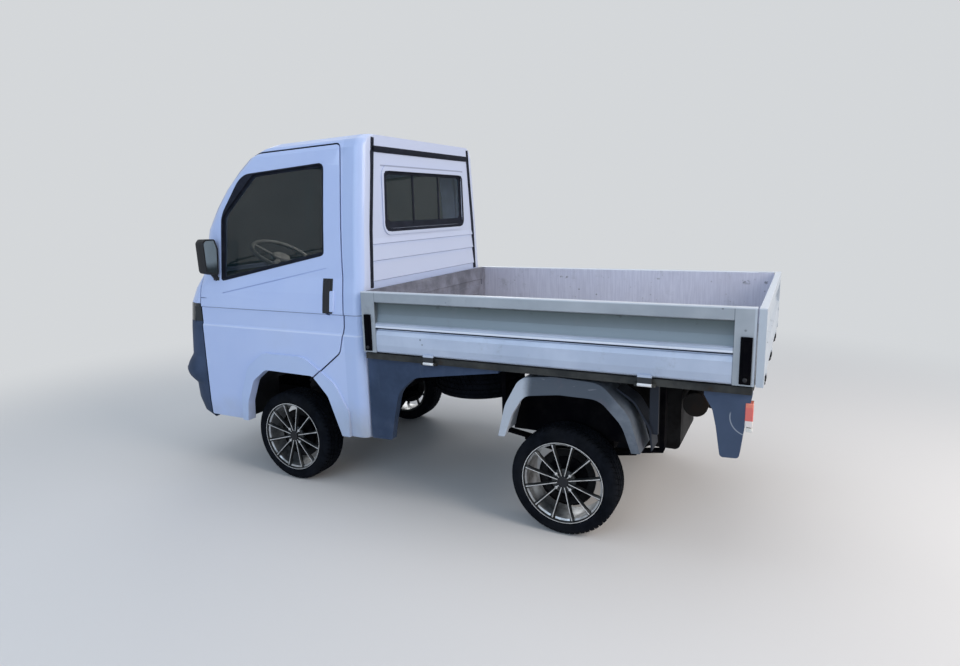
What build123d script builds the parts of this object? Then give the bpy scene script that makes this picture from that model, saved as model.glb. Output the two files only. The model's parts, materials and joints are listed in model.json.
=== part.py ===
from build123d import *
from math import cos, pi, radians, sin, sqrt
import os

os.makedirs("parts", exist_ok=True)

# A small two-seat truck with a drop-side bed, in millimetres.
# +X is the truck's left, its front faces -Y and the ground is Z = 0.

# Overall sizes
wheelbase = 1712.0
front_overhang = 930.0
rear_overhang = 873.0
overall_length = front_overhang + wheelbase + rear_overhang
front_axle_y = front_overhang - overall_length / 2
rear_axle_y = front_axle_y + wheelbase
seat_gap = 0.3  # between curved or clamped faces that belong together
run_gap = 6.0  # between pieces that move past each other

# Cab body
cab_wall = 40.0
cab_rear = 603.0  # behind the front axle
cab_bottom = 358.0
rear_corner = 56.0
front_bow = 3050.0  # plan radius of the curved front
roof_tilt = 1.5
door_skin = 10.0  # the outer layer of a door, wider than what lies behind it
door_step = 10.0  # how far that layer laps over
shut_gap = 9.0
footwell_height = 560.0
deck_height = 800.0
plate = 10.0
glass_depth = 14.0
glass_thickness = 4.0

# Bed
bed_half_width = 736.5
board_bottom = 858.0
board_top = 1182.0
board_front = 612.0  # behind the front axle
board_rear = 2549.0
gate_front = board_rear + run_gap
gate_thickness = 30.0
floor_top = 870.0
floor_thickness = 20.0
floor_half_width = 692.0
rail_height = 32.0
rail_width = 58.0
board_hinge_height = 822.0
hinge_barrel = 7.0
bed_pin = 4.0  # radius of the pins that the boards turn on

# Wheels
tyre_radius = 273.0
tyre_width = 165.0
rim_seat = 193.0  # radius of the tyre's bead
rim_flange = 207.5
wheel_x = 605.5
spoke_count = 12
kingpin_x = 545.0
steer_arm = 110.0

# Chassis
chassis_x = 330.0
chassis_width = 50.0
chassis_depth = 80.0
arm_inner_x = chassis_x + chassis_width / 2
kingpin_low, kingpin_high = 182.0, 364.0
strut_x = 440.0
tower_height = 640.0
front_rail_height = 440.0
rear_rail_height = board_hinge_height - 74.0


def back(distance):
    # Y of a place that lies this far behind the front axle
    return front_axle_y + distance


def side_points(rows):
    # rows hold: distance behind the front axle, height
    return [(back(distance), height) for distance, height in rows]


def closed_sketch(points, radii):
    # a filleted closed outline in the sketch that is being made
    with BuildLine() as outline:
        FilletPolyline(*points, radius=radii, close=True)
    make_face(outline.edges())


def side_prism(rows, radii, near_x, far_x, grow=0.0):
    # an outline seen from the side, pushed through from near_x to far_x
    with BuildPart(mode=Mode.PRIVATE) as prism:
        with BuildSketch(Plane.YZ.offset(near_x)):
            closed_sketch(side_points(rows), radii)
            if grow:
                offset(amount=grow, kind=Kind.INTERSECTION)
        extrude(amount=far_x - near_x)
    return prism.part


def front_prism(points, radii, near, far, grow=0.0):
    # an outline seen from behind, X against height, pushed from near to far behind the front axle
    with BuildPart(mode=Mode.PRIVATE) as prism:
        with BuildSketch(Plane.XZ.offset(-back(near))):
            closed_sketch(points, radii)
            if grow:
                offset(amount=grow, kind=Kind.INTERSECTION)
        extrude(amount=near - far)
    return prism.part


def block(x, distance, z):
    # a plain block between two values of X, of distance behind the front axle and of height
    with BuildPart(mode=Mode.PRIVATE) as solid:
        with BuildSketch(Plane.XY.offset(z[0])):
            with Locations(((x[0] + x[1]) / 2, back((distance[0] + distance[1]) / 2))):
                Rectangle(x[1] - x[0], distance[1] - distance[0])
        extrude(amount=z[1] - z[0])
    return solid.part


def rod(start, end, radius):
    # a round bar between two points given as X, distance behind the front axle, height
    first = Vector(start[0], back(start[1]), start[2])
    last = Vector(end[0], back(end[1]), end[2])
    with BuildPart(mode=Mode.PRIVATE) as bar:
        with BuildSketch(Plane(origin=first, z_dir=last - first)):
            Circle(radius)
        extrude(amount=(last - first).length)
    return bar.part


def turned(rows, sides, plane=Plane.XY):
    # a round solid of flats: rows hold distance along the plane's axis and radius to the flats
    rings = []
    for place, radius in rows:
        corner = radius / cos(pi / sides)
        turns = [2 * pi * (number + 0.5) / sides for number in range(sides)]
        spots = [(corner * cos(turn), corner * sin(turn), place) for turn in turns]
        rings.append([plane.from_local_coords(spot) for spot in spots])
    faces = [Face(Wire.make_polygon(ring)) for ring in (rings[0], rings[-1])]
    for low, high in zip(rings, rings[1:]):
        for number in range(sides):
            before = number - 1
            faces.append(Face(Wire.make_polygon([low[before], low[number], high[number], high[before]])))
    return Solid(Shell(faces))


def true_flats(solid):
    # the same solid, with the flat faces of a loft as planes
    faces = [Face(face.outer_wire()) if face.is_planar else face for face in solid.faces()]
    return Solid(Shell(faces))


def bar(start, end, radius, sides=12):
    # a hidden bar or drum of flats between two points given as in rod
    first = Vector(start[0], back(start[1]), start[2])
    last = Vector(end[0], back(end[1]), end[2])
    reach = last - first
    return turned([(0, radius), (reach.length, radius)], sides, Plane(origin=first, z_dir=reach))


def save(name, shape):
    shape.label = name
    export_step(shape, f"parts/{name}.step")


def save_pair(name, left_shape):
    # writes the left piece and its mirror image on the right
    save(f"{name}_left", left_shape)
    save(f"{name}_right", left_shape.mirror(Plane.YZ))


# Cab sections, each a plan outline of the body.
# height, nose = reach ahead of the front axle on the centre line, half_width, corner = plan radius
cab_sections = [
    (330, 745, 722, 150),
    (370, 835, 728, 170),
    (450, 872, 733, 180),
    (700, 895, 735, 180),
    (900, 876, 735, 180),
    (1060, 852, 734, 180),
    (1156, 806, 722, 180),
    (1242, 742, 706, 180),
    (1510, 672, 684, 170),
    (1640, 590, 670, 160),
    (1745, 503, 658, 150),
    (1845, 396, 646, 140),
    (1920, 305, 637, 130),
    (1962, 205, 618, 120),
    (1984, 120, 580, 100),
]
tilt_from = 1900.0  # sections above this follow the roof


def cab_body(inset, sections=cab_sections):
    # the cab's outside, or a layer this far within it
    lowest, highest = sections[0][0], sections[-1][0]
    with BuildPart(mode=Mode.PRIVATE) as body:
        for height, nose, half_width, corner in sections:
            tilt = roof_tilt if height > tilt_from else 0.0
            drop = inset * (height - lowest) / (highest - lowest) if height > lowest else inset
            normal = (0, -sin(radians(tilt)), cos(radians(tilt)))
            level = Plane(origin=(0, front_axle_y, height - drop), x_dir=(1, 0, 0), z_dir=normal)
            wide = half_width - inset
            tip = inset - nose
            side_front = tip + front_bow - sqrt(front_bow**2 - wide**2)
            rear = (cab_rear - inset) / cos(radians(tilt))
            with BuildSketch(level) as section:
                with BuildLine():
                    ThreePointArc((-wide, side_front), (0, tip), (wide, side_front))
                    Line((wide, side_front), (wide, rear))
                    Line((wide, rear), (-wide, rear))
                    Line((-wide, rear), (-wide, side_front))
                make_face()
                fillet(section.vertices().group_by(Axis.Y)[0], radius=corner - inset)
                fillet(section.vertices().group_by(Axis.Y)[-1], radius=rear_corner - inset)
        loft(ruled=True)
    return true_flats(body.part)


# Outlines on the cab's side, as distance behind the front axle and height
door_rows = [
    (-612, 340), (-612, 1236), (-628, 1262), (-566, 1500), (-388, 1762), (-170, 1938), (460, 1957),
    (470, 1390), (487, 1045), (483, 977), (447, 835), (250, 680), (250, 340),
]
door_radii = [0, 0, 12, 90, 260, 60, 32, 0, 90, 60, 60, 0, 0]
arch_rows = [(-292, 300), (-270, 480), (-212, 617), (-110, 692), (246, 688), (350, 580), (446, 330)]
arch_radii = [0, 60, 70, 60, 50, 60, 0]
flare_rows = [
    (-331, 300), (-322, 520), (-250, 700), (-120, 793), (190, 793), (400, 660), (490, 500), (486, 300),
]
flare_radii = [0, 60, 110, 90, 140, 140, 60, 0]
window_rows = [(-432, 1210), (-418, 1590), (-170, 1826), (345, 1858), (346, 1370)]
window_radii = [14, 60, 60, 26, 20]
flare_rise = 12.0
band_low, band_high, band_depth = 935.0, 1050.0, 7.0
crease_rows = [(-420, 1133), (365, 1294), (365, 1299), (-420, 1139)]
crease_depth = 3.0

# Levels where the front pieces meet
bumper_top = 955.0
lamp_top = 1066.0
nose_top = 1242.0
front_seam = -612.0

full_cab = cab_body(0)
under_skin = cab_body(door_skin)
room_sections = cab_sections[::2]  # the inside has fewer turns than the outside
cab_room = cab_body(cab_wall, room_sections)
glass_layer = cab_body(glass_depth) - cab_body(glass_depth + glass_thickness)

half_span = 900.0  # past the sides of the cab
inner_reach = 400.0  # wheel arches stay outboard of this
door_reach = 560.0  # and doors outboard of this
band_cut = front_prism(
    [(half_span, band_high + 4), (735.5, band_high), (735 - band_depth, band_high - 6),
     (735 - band_depth, band_low + 12), (735.5, band_low - 4), (half_span, band_low - 60)],
    0, front_seam - 60, cab_rear + 30)
flare_side = side_prism(flare_rows, flare_radii, 690, 735 + flare_rise)
arch_cut = side_prism(arch_rows, arch_radii, inner_reach, half_span)

crease_cut = side_prism(crease_rows, 0, -half_span, half_span) - cab_body(crease_depth)

with BuildPart() as cab_skin:
    add(full_cab)
    add(band_cut, mode=Mode.SUBTRACT)
    add(band_cut.mirror(Plane.YZ), mode=Mode.SUBTRACT)
    add(crease_cut, mode=Mode.SUBTRACT)
    add(flare_side)
    add(flare_side.mirror(Plane.YZ))
    add(cab_room, mode=Mode.SUBTRACT)
    add(arch_cut, mode=Mode.SUBTRACT)
    add(arch_cut.mirror(Plane.YZ), mode=Mode.SUBTRACT)

# Front pieces, all split from the same skin
far_front = -1000.0
rear_panel_points = [(-611, 905), (611, 905), (611, 1190), (566, 1925), (-566, 1925), (-611, 1190)]
screen_points = [(-588, 1262), (588, 1262), (524, 1902), (-524, 1902)]
screen_radii = [40, 40, 60, 60]
screen_reach = 60.0

# The air intake low in the bumper, with bars across it
intake_half = 300.0
intake_points = [(-intake_half, 410), (intake_half, 410), (intake_half - 24, 512), (24 - intake_half, 512)]
intake_radius = 16.0
intake_floor = 846.0  # the intake's back, ahead of the front axle
intake_bars = [440.0, 476.0]
bar_half, bar_reach = 5.0, 16.0

# The bumper's bulge, as sections like the cab's
bulge_sections = [
    (536, 880, 700, 170),
    (574, front_overhang, 700, 170),
    (646, front_overhang, 700, 170),
    (686, 880, 700, 170),
]
with BuildPart() as front_bumper:
    add(cab_skin.part)
    add(cab_body(0, bulge_sections) - full_cab)
    add(block((-half_span, half_span), (far_front, front_seam - shut_gap / 2), (300, bumper_top)),
        mode=Mode.INTERSECT)
    add(front_prism(intake_points, intake_radius, far_front, -intake_floor), mode=Mode.SUBTRACT)
    for level in intake_bars:
        add(block((-intake_half, intake_half), (-intake_floor - bar_reach, -intake_floor + 2),
                  (level - bar_half, level + bar_half)))
save("front_bumper", front_bumper.part)

lamp_inner_x = 392.0
lamp_split_x = 600.0  # between the headlamp and the turn lamp outboard of it
lamp_groove = 4.0
slot_half, slot_reach = 330.0, 40.0  # the slots end short of the centre and of the lamps
slot_levels = [972.0, 994.0, 1016.0, 1038.0]
slot_height, slot_depth = 12.0, 22.0
lamp_zone = block((-half_span, half_span), (far_front, front_seam - shut_gap / 2), (bumper_top, lamp_top))
centre_zone = block((-lamp_inner_x, lamp_inner_x), (far_front, front_seam), (bumper_top, lamp_top))

with BuildPart() as headlamps:
    add(cab_skin.part)
    add(lamp_zone, mode=Mode.INTERSECT)
    add(centre_zone, mode=Mode.SUBTRACT)
    for split in (-lamp_split_x, lamp_split_x):
        ends = (split - lamp_groove / 2, split + lamp_groove / 2)
        groove = block(ends, (far_front, -500), (bumper_top, lamp_top))
        add(groove - cab_body(lamp_groove), mode=Mode.SUBTRACT)
save("headlamps", headlamps.part)

with BuildPart() as grille:
    add(cab_skin.part)
    add(centre_zone, mode=Mode.INTERSECT)
    slots_inside = cab_body(slot_depth)
    for level in slot_levels:
        for ends in ((-slot_half, -slot_reach), (slot_reach, slot_half)):
            slot = block(ends, (far_front, front_seam), (level - slot_height / 2, level + slot_height / 2))
            add(slot - slots_inside, mode=Mode.SUBTRACT)
save("grille", grille.part)

with BuildPart() as nose_panel:
    add(cab_skin.part)
    add(block((-half_span, half_span), (far_front, front_seam - shut_gap / 2), (lamp_top, nose_top)),
        mode=Mode.INTERSECT)
save("nose_panel", nose_panel.part)

# Shell: roof, pillars and the sides behind the doors
door_opening = side_prism(door_rows, door_radii, door_reach - shut_gap, half_span, shut_gap / 2)
screen_cut = front_prism(screen_points, screen_radii, far_front, screen_reach)
rear_cut = front_prism(rear_panel_points, [0, 0, 0, 20, 20, 0], cab_rear - cab_wall - 5, cab_rear + 20)
with BuildPart() as cab_shell:
    add(cab_skin.part)
    add(door_opening, mode=Mode.SUBTRACT)
    add(door_opening.mirror(Plane.YZ), mode=Mode.SUBTRACT)
    add(screen_cut, mode=Mode.SUBTRACT)
    add(rear_cut, mode=Mode.SUBTRACT)
    add(block((-half_span, half_span), (far_front, -300), (300, nose_top)), mode=Mode.SUBTRACT)
    add(block((-half_span, half_span), (-320, 700), (300, cab_bottom)), mode=Mode.SUBTRACT)
    add(block((-600, 600), (cab_rear - cab_wall - 1, 700), (300, deck_height - plate)), mode=Mode.SUBTRACT)
save("cab_shell", cab_shell.part)

with BuildPart() as windscreen:
    add(glass_layer)
    add(front_prism(screen_points, screen_radii, far_front, screen_reach, -seat_gap), mode=Mode.INTERSECT)
save("windscreen", windscreen.part)

# Doors, each hung on two pins near its front edge
hinge_x = 720.0
hinge_back = -572.0
hinge_heights = [620.0, 1080.0]
pin_radius = 4.5
pocket_half = 24.0
pocket_skin = 6.0
post_x = 662.0


def hinge_pin(height, reach, radius):
    # a round bar on the doors' hinge line, this far up and down from a height
    return rod((hinge_x, hinge_back, height - reach), (hinge_x, hinge_back, height + reach), radius)


window_cut = side_prism(window_rows, window_radii, door_reach, half_span)
door_rim = block((inner_reach, half_span), (-700, 600), (200, 2100)) - side_prism(
    door_rows, door_radii, inner_reach - 1, half_span + 1, -shut_gap / 2 - door_step)
handle_rows = [(364, 1042), (401, 1042), (401, 1238), (364, 1238)]
with BuildPart() as door:
    add(cab_skin.part)
    add(side_prism(door_rows, door_radii, door_reach, half_span, -shut_gap / 2), mode=Mode.INTERSECT)
    add(under_skin & door_rim, mode=Mode.SUBTRACT)
    add(window_cut, mode=Mode.SUBTRACT)
    add(block((inner_reach, half_span), (-700, 0), (300, cab_bottom)), mode=Mode.SUBTRACT)
    add(side_prism(handle_rows, 12, 712, half_span), mode=Mode.SUBTRACT)
    add(block((706, 727), (378, 396), (1050, 1150)))
    for height in hinge_heights:
        add(block((600, 735 - pocket_skin), (front_seam - 20, hinge_back + 14),
                  (height - pocket_half, height + pocket_half)), mode=Mode.SUBTRACT)
        add(hinge_pin(height, pocket_half + 10, pin_radius))
save_pair("door", door.part)

with BuildPart() as door_glass:
    add(glass_layer)
    add(side_prism(window_rows, window_radii, inner_reach, half_span, -seat_gap), mode=Mode.INTERSECT)
save_pair("door_glass", door_glass.part)

# Posts inside the front edge of each door carry the hinge arms
post_back = (-604.0, -530.0)
post_top = 1140.0
dash_half = 635.0  # the dashboard ends at the posts
arm_half, arm_height = 6.0, 15.0
barrel_radius = 8.0
with BuildPart() as door_posts:
    add(block((dash_half, post_x), post_back, (footwell_height, post_top)))
    for height in hinge_heights:
        add(block((post_x - 5, hinge_x), (hinge_back - arm_half, hinge_back + arm_half),
                  (height - arm_height, height + arm_height)))
        add(hinge_pin(height, arm_height, barrel_radius))
        add(hinge_pin(height, arm_height + 1, pin_radius + seat_gap), mode=Mode.SUBTRACT)
    mirror(about=Plane.YZ)
save("door_posts", door_posts.part)

# Rear panel with its ribs and window
rib_levels = [1222, 1332, 1422]
rib_rise = 8.0
panel_face = cab_rear - 5.0
rear_window_points = [(-443, 1500), (443, 1500), (438, 1812), (-438, 1812)]
with BuildPart() as rear_panel:
    outline = [(cab_rear - cab_wall, 905), (panel_face, 905)]
    for level in rib_levels:
        outline += [(panel_face, level - 4), (panel_face + rib_rise, level)]
    outline += [(panel_face + 2, 1452), (panel_face + 2, 1925), (cab_rear - cab_wall, 1925)]
    add(side_prism(outline, 0, -700, 700))
    add(front_prism(rear_panel_points, [0, 0, 0, 20, 20, 0], 500, 700, -seat_gap), mode=Mode.INTERSECT)
    add(front_prism(rear_window_points, 30, panel_face, panel_face + 9, 36))
    add(front_prism(rear_window_points, 30, 500, 700), mode=Mode.SUBTRACT)
save("rear_panel", rear_panel.part)

with BuildPart() as rear_window:
    add(front_prism(rear_window_points, 30, panel_face - 8, panel_face - 4, -seat_gap))
save("rear_window", rear_window.part)

# Cab floor, seat deck and the walls between them
well_back = -338.0
floor_side = post_x
with BuildPart() as cab_floor:
    outline = [
        (-790, footwell_height - plate), (well_back, footwell_height - plate),
        (well_back, deck_height - plate),
        (cab_rear - cab_wall, deck_height - plate), (cab_rear - cab_wall, deck_height),
        (well_back - plate, deck_height), (well_back - plate, footwell_height), (-790, footwell_height),
    ]
    add(side_prism(outline, 0, -floor_side, floor_side))
    add(cab_body(cab_wall + seat_gap, room_sections), mode=Mode.INTERSECT)
save("cab_floor", cab_floor.part)

liner_rows = [
    (well_back, 200), (well_back, 560), (-240, 718), (-90, 752), (262, 752), (420, 610), (520, 200),
]
liner_radii = [0, 60, 90, 60, 60, 90, 0]
liner_inner, liner_outer, liner_wall = 420.0, 682.0, 6.0
with BuildPart() as wheel_liners:
    add(side_prism(liner_rows, liner_radii, liner_inner, liner_outer))
    add(side_prism(liner_rows, liner_radii, liner_inner - 1, liner_outer + 1, -liner_wall),
        mode=Mode.SUBTRACT)
    add(block((liner_inner - 1, liner_outer + 1), (-400, 600), (150, cab_bottom)), mode=Mode.SUBTRACT)
    mirror(about=Plane.YZ)
save("wheel_liners", wheel_liners.part)

# Dashboard with the steering column, and the steering wheel
steer_x = 330.0
steer_back = -300.0
steer_height = 1336.0
steer_tilt = 62.0  # the column's angle above level
steer_ring = 185.0
steer_rim = 13.0
column_axis = Vector(0, cos(radians(steer_tilt)), sin(radians(steer_tilt)))
steer_centre = Vector(steer_x, back(steer_back), steer_height)
steer_plane = Plane(origin=steer_centre, x_dir=(1, 0, 0), z_dir=column_axis)
hub_drop = 34.0
column_length = 390.0

dash_rows = [(-800, 1228), (-640, 1236), (-520, 1180), (-470, 1080), (-500, 960), (-560, 900), (-800, 900)]
with BuildPart() as dashboard:
    add(side_prism(dash_rows, [0, 30, 40, 40, 20, 20, 0], -dash_half, dash_half))
    add(cab_body(cab_wall + seat_gap, room_sections), mode=Mode.INTERSECT)
    with BuildSketch(steer_plane.offset(-hub_drop - seat_gap)):
        Circle(30)
    extrude(amount=-column_length)
save("dashboard", dashboard.part)

with BuildPart() as steering_wheel:
    half, slope = steer_rim, steer_rim * 0.42
    outer_rows = [(-half, steer_ring + slope), (-slope, steer_ring + half), (slope, steer_ring + half),
                  (half, steer_ring + slope)]
    inner_rows = [(place, 2 * steer_ring - radius) for place, radius in outer_rows]
    add(turned(outer_rows, 32, steer_plane) - turned(inner_rows, 32, steer_plane))
    with BuildSketch(steer_plane.offset(-hub_drop)):
        Circle(52)
    extrude(amount=26)
    for turn in (0, 180, 270):
        with BuildSketch(steer_plane.offset(-hub_drop + 16)):
            with Locations(Rot(0, 0, turn) * Location((steer_ring / 2 + 10, 0))):
                Rectangle(steer_ring - 22, 30)
        extrude(amount=12)
save("steering_wheel", steering_wheel.part)


# Seats
seat_centre_x = 322.0
seat_half = 240.0
back_half = 232.0
cushion_height = 960.0
seat_base_top = 862.0
back_low = 880.0
with BuildPart() as seat_bases:
    add(block((seat_centre_x - 215, seat_centre_x + 215), (-60, 400), (deck_height, seat_base_top)))
    add(block((seat_centre_x - 215, seat_centre_x + 215), (400, 500), (deck_height, back_low - seat_gap)))
    mirror(about=Plane.YZ)
save("seat_bases", seat_bases.part)

with BuildPart() as seat_cushions:
    cushion_low = seat_base_top + seat_gap
    cushion_rows = [(-75, cushion_low), (-75, 930), (-40, cushion_height), (380, 940), (400, cushion_low)]
    add(side_prism(cushion_rows, [8, 24, 24, 20, 8], seat_centre_x - seat_half, seat_centre_x + seat_half))
    mirror(about=Plane.YZ)
save("seat_cushions", seat_cushions.part)

with BuildPart() as seat_backs:
    back_rows = [(405, back_low), (500, back_low), (540, 1400), (520, 1455), (480, 1440), (452, 1380)]
    back_radii = [30, 20, 30, 16, 20, 60]
    add(side_prism(back_rows, back_radii, seat_centre_x - back_half, seat_centre_x + back_half))
    mirror(about=Plane.YZ)
save("seat_backs", seat_backs.part)

# Side boards: the cross-section is X against height
board_points = [
    (700, board_bottom), (724, board_bottom), (733, 866), (736.5, 900), (735, 955), (727, 977), (722, 980),
    (722, 991), (736.5, 993), (736.5, 1012), (722, 1020), (713, 1062), (714, 1122), (733, 1127),
    (736.5, 1131), (736.5, board_top), (703, board_top), (700, board_top - 4),
]
post_length = 84.0
slot_low, slot_high = 866.0, 1062.0
latch_slot = 34.0
ear_places = [(984, 1044), (2079, 2142)]
ear_clear = 6.0
board_hinge_x = bed_half_width + 0.5


def barrel(place, extra, radius):
    # a hinge barrel along the side of the bed
    low, high = place[0] - extra, place[1] + extra
    return rod((board_hinge_x, low, board_hinge_height), (board_hinge_x, high, board_hinge_height), radius)


with BuildPart() as side_board:
    add(front_prism(board_points, 0, board_front, board_rear))
    for start in (board_front, board_rear - post_length):
        add(block((700, bed_half_width), (start, start + post_length), (board_bottom, board_top)))
    for start in (board_front + 24, board_rear - 24 - latch_slot):
        add(block((716, 760), (start, start + latch_slot), (slot_low, slot_high)), mode=Mode.SUBTRACT)
    for place in ear_places:
        add(block((731, 741), place, (board_hinge_height, board_bottom + 10)))
        add(barrel(place, 0, hinge_barrel))
        add(barrel(place, 1, bed_pin + seat_gap), mode=Mode.SUBTRACT)
save_pair("side_board", side_board.part)

# Tailgate, of the same profile turned to the rear
gate_rear = gate_front + gate_thickness
gate_shift = gate_rear - bed_half_width
gate_hinge = gate_rear - hinge_barrel
gate_ears = [(-520, -460), (-30, 30), (460, 520)]


def gate_pin(ear, extra, radius):
    # a round bar on the tailgate's hinge line, this far past both ends of an ear
    low, high = ear[0] - extra, ear[1] + extra
    return rod((low, gate_hinge, board_hinge_height), (high, gate_hinge, board_hinge_height), radius)


with BuildPart() as tailgate:
    gate_rows = [(max(x + gate_shift, gate_front), z) for x, z in board_points]
    gate_rows[-2:] = [(gate_front + 3, board_top), (gate_front, board_top - 4)]
    add(side_prism(gate_rows, 0, -bed_half_width, bed_half_width))
    for side in (-1, 1):
        ends = sorted((side * (bed_half_width - 64), side * bed_half_width))
        add(block(ends, (gate_front, gate_rear), (board_bottom, board_top)))
    for ear in gate_ears:
        add(block(ear, (gate_hinge - 3, gate_rear), (board_hinge_height, board_bottom + 10)))
        add(gate_pin(ear, 0, hinge_barrel))
        add(gate_pin(ear, 1, bed_pin + seat_gap), mode=Mode.SUBTRACT)
save("tailgate", tailgate.part)

# Fixed part of the bed
rail_top = floor_top - floor_thickness
rail_low = rail_top - rail_height
rail_outer = bed_half_width - 14.0
headboard_front = board_front + 4
headboard_rear = headboard_front + 24
with BuildPart() as bed_floor:
    add(block((-floor_half_width, floor_half_width), (headboard_rear, board_rear), (rail_top, floor_top)))
save("bed_floor", bed_floor.part)

with BuildPart() as headboard:
    add(block((-floor_half_width, floor_half_width), (headboard_front, headboard_rear),
              (rail_top, board_top)))
    for level in (940, 1060):
        add(block((-floor_half_width + 40, floor_half_width - 40), (headboard_rear - 6, headboard_rear + 10),
                  (level, level + 40)), mode=Mode.SUBTRACT)
save("headboard", headboard.part)

frame_front = headboard_front
frame_rear = board_rear - 6
frame_bars = [frame_front + number * (frame_rear - frame_front) / 5 for number in range(1, 5)]
with BuildPart() as bed_frame:
    for side in (-1, 1):
        ends = sorted((side * rail_outer, side * (rail_outer - rail_width)))
        add(block(ends, (frame_front, frame_rear), (rail_low, rail_top)))
    for start in (frame_front, frame_rear - 50):
        add(block((-rail_outer, rail_outer), (start, start + 50), (rail_low, rail_top)))
    for middle in frame_bars:
        add(block((-rail_outer, rail_outer), (middle - 20, middle + 20), (rail_low, rail_top)))
    for side in (-1, 1):
        for place in ear_places:
            for edge in (place[0] - 14, place[1] + 4):
                ends = sorted((side * (rail_outer - 10), side * board_hinge_x))
                add(block(ends, (edge, edge + 10), (board_hinge_height - 8, board_hinge_height + 8)))
            pin = barrel(place, 14, bed_pin)
            add(pin if side > 0 else pin.mirror(Plane.YZ))
    for ear in gate_ears:
        for edge in (ear[0] - 14, ear[1] + 4):
            add(block((edge, edge + 10), (frame_rear - 10, gate_hinge), (board_hinge_height - 8,
                                                                         board_hinge_height + 8)))
        add(gate_pin(ear, 14, bed_pin))
save("bed_frame", bed_frame.part)

# Chassis rails: low ahead of the rear wall of the cab, then up and level under the bed
rail_turns = [(-765, front_rail_height), (430, front_rail_height), (660, rear_rail_height + 30),
              (2530, rear_rail_height + 30)]
with BuildPart() as chassis_rails:
    half = chassis_depth / 2
    top_side = [(distance, height + half) for distance, height in rail_turns]
    low_side = [(distance, height - half) for distance, height in reversed(rail_turns)]
    add(side_prism(top_side + low_side, [0, 60, 60, 0, 0, 60, 60, 0], chassis_x - chassis_width / 2,
                   arm_inner_x))
    add(block((arm_inner_x, arm_inner_x + 10), (-48, 48), (front_rail_height, tower_height)))
    add(block((arm_inner_x, strut_x + 44), (-48, 48), (tower_height, tower_height + 10)))
    mirror(about=Plane.YZ)
save("chassis_rails", chassis_rails.part)

cross_places = [(-740, front_rail_height), (330, front_rail_height), (1330, rear_rail_height + 30),
                (2080, rear_rail_height + 30), (2500, rear_rail_height + 30)]
cross_reach = chassis_x - chassis_width / 2
with BuildPart() as cross_members:
    for distance, height in cross_places:
        add(block((-cross_reach, cross_reach), (distance - 25, distance + 25), (height - 25, height + 25)))
    for side in (-1, 1):
        for distance in (-680, -400):
            ends = sorted((side * (chassis_x - 20), side * (chassis_x + 20)))
            add(block(ends, (distance - 30, distance + 30),
                      (front_rail_height + chassis_depth / 2, footwell_height - plate)))
save("cross_members", cross_members.part)

# Front suspension and steering
with BuildPart() as front_arms:
    for height, seat in ((kingpin_low - seat_gap, -1), (kingpin_high + seat_gap, 1)):
        low, high = sorted((height, height + seat * 24))
        with BuildSketch(Plane.XY.offset(low)):
            with BuildLine():
                FilletPolyline(
                    (arm_inner_x, back(-95)), (kingpin_x, back(-20)), (kingpin_x, back(20)),
                    (arm_inner_x, back(95)), radius=[0, 18, 18, 0], close=True)
            make_face()
            if seat > 0:
                with BuildLine():
                    FilletPolyline(
                        (arm_inner_x + 12, back(-60)), (kingpin_x - 50, back(-16)),
                        (kingpin_x - 50, back(16)), (arm_inner_x + 12, back(60)), radius=6, close=True)
                make_face(mode=Mode.SUBTRACT)
        extrude(amount=high - low)
    for place in (-85, 85):
        add(block((arm_inner_x - 30, arm_inner_x + 2), (place - 10, place + 10),
                  (kingpin_low - 26, front_rail_height - chassis_depth / 2)))
    mirror(about=Plane.YZ)
save("front_arms", front_arms.part)

coil_low, coil_pitch, coil_turns, coil_radius = 400.0, 34.0, 6, 38.0
coil_rows = [(coil_low - 6, coil_radius)]
for turn in range(coil_turns):
    coil_rows.append((coil_low + turn * coil_pitch, coil_radius))
    coil_rows.append((coil_low + (turn + 0.5) * coil_pitch, coil_radius - 9))
with BuildPart() as coil_struts:
    add(bar((strut_x, 0, kingpin_low), (strut_x, 0, tower_height - seat_gap), 16))
    add(turned(coil_rows, 12, Plane(origin=(strut_x, back(0), 0))))
    mirror(about=Plane.YZ)
save("coil_struts", coil_struts.part)

drum_radius = 105.0
hub_face = wheel_x + 36.0
with BuildPart() as knuckle:
    add(rod((kingpin_x, 0, kingpin_low), (kingpin_x, 0, kingpin_high), 18))
    add(rod((kingpin_x, 0, tyre_radius), (hub_face - seat_gap, 0, tyre_radius), 28))
    add(bar((kingpin_x + 24, 0, tyre_radius), (kingpin_x + 70, 0, tyre_radius), drum_radius, 24))
    add(block((kingpin_x - 34, kingpin_x - 6), (0, steer_arm + 12), (226, 244)))
save_pair("knuckle", knuckle.part)

rack_height = 212.0
tie_end = kingpin_x - 22.0
with BuildPart() as tie_rods:
    add(rod((-tie_end - 10, steer_arm, rack_height), (tie_end + 10, steer_arm, rack_height), 8))
save("tie_rods", tie_rods.part)

with BuildPart() as rack_housing:
    add(rod((-240, steer_arm, rack_height), (240, steer_arm, rack_height), 24))
    for side in (-1, 1):
        ends = sorted((side * 180, side * 210))
        add(block(ends, (steer_arm - 16, steer_arm + 16), (rack_height, front_rail_height)))
    add(block((-210, 210), (steer_arm - 16, steer_arm + 16), (front_rail_height - 30, front_rail_height)))
    add(block((-cross_reach, cross_reach), (steer_arm - 16, steer_arm + 16),
              (front_rail_height - 20, front_rail_height + 10)))
    add(rod((-250, steer_arm, rack_height), (250, steer_arm, rack_height), 8 + seat_gap), mode=Mode.SUBTRACT)
save("rack_housing", rack_housing.part)

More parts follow.
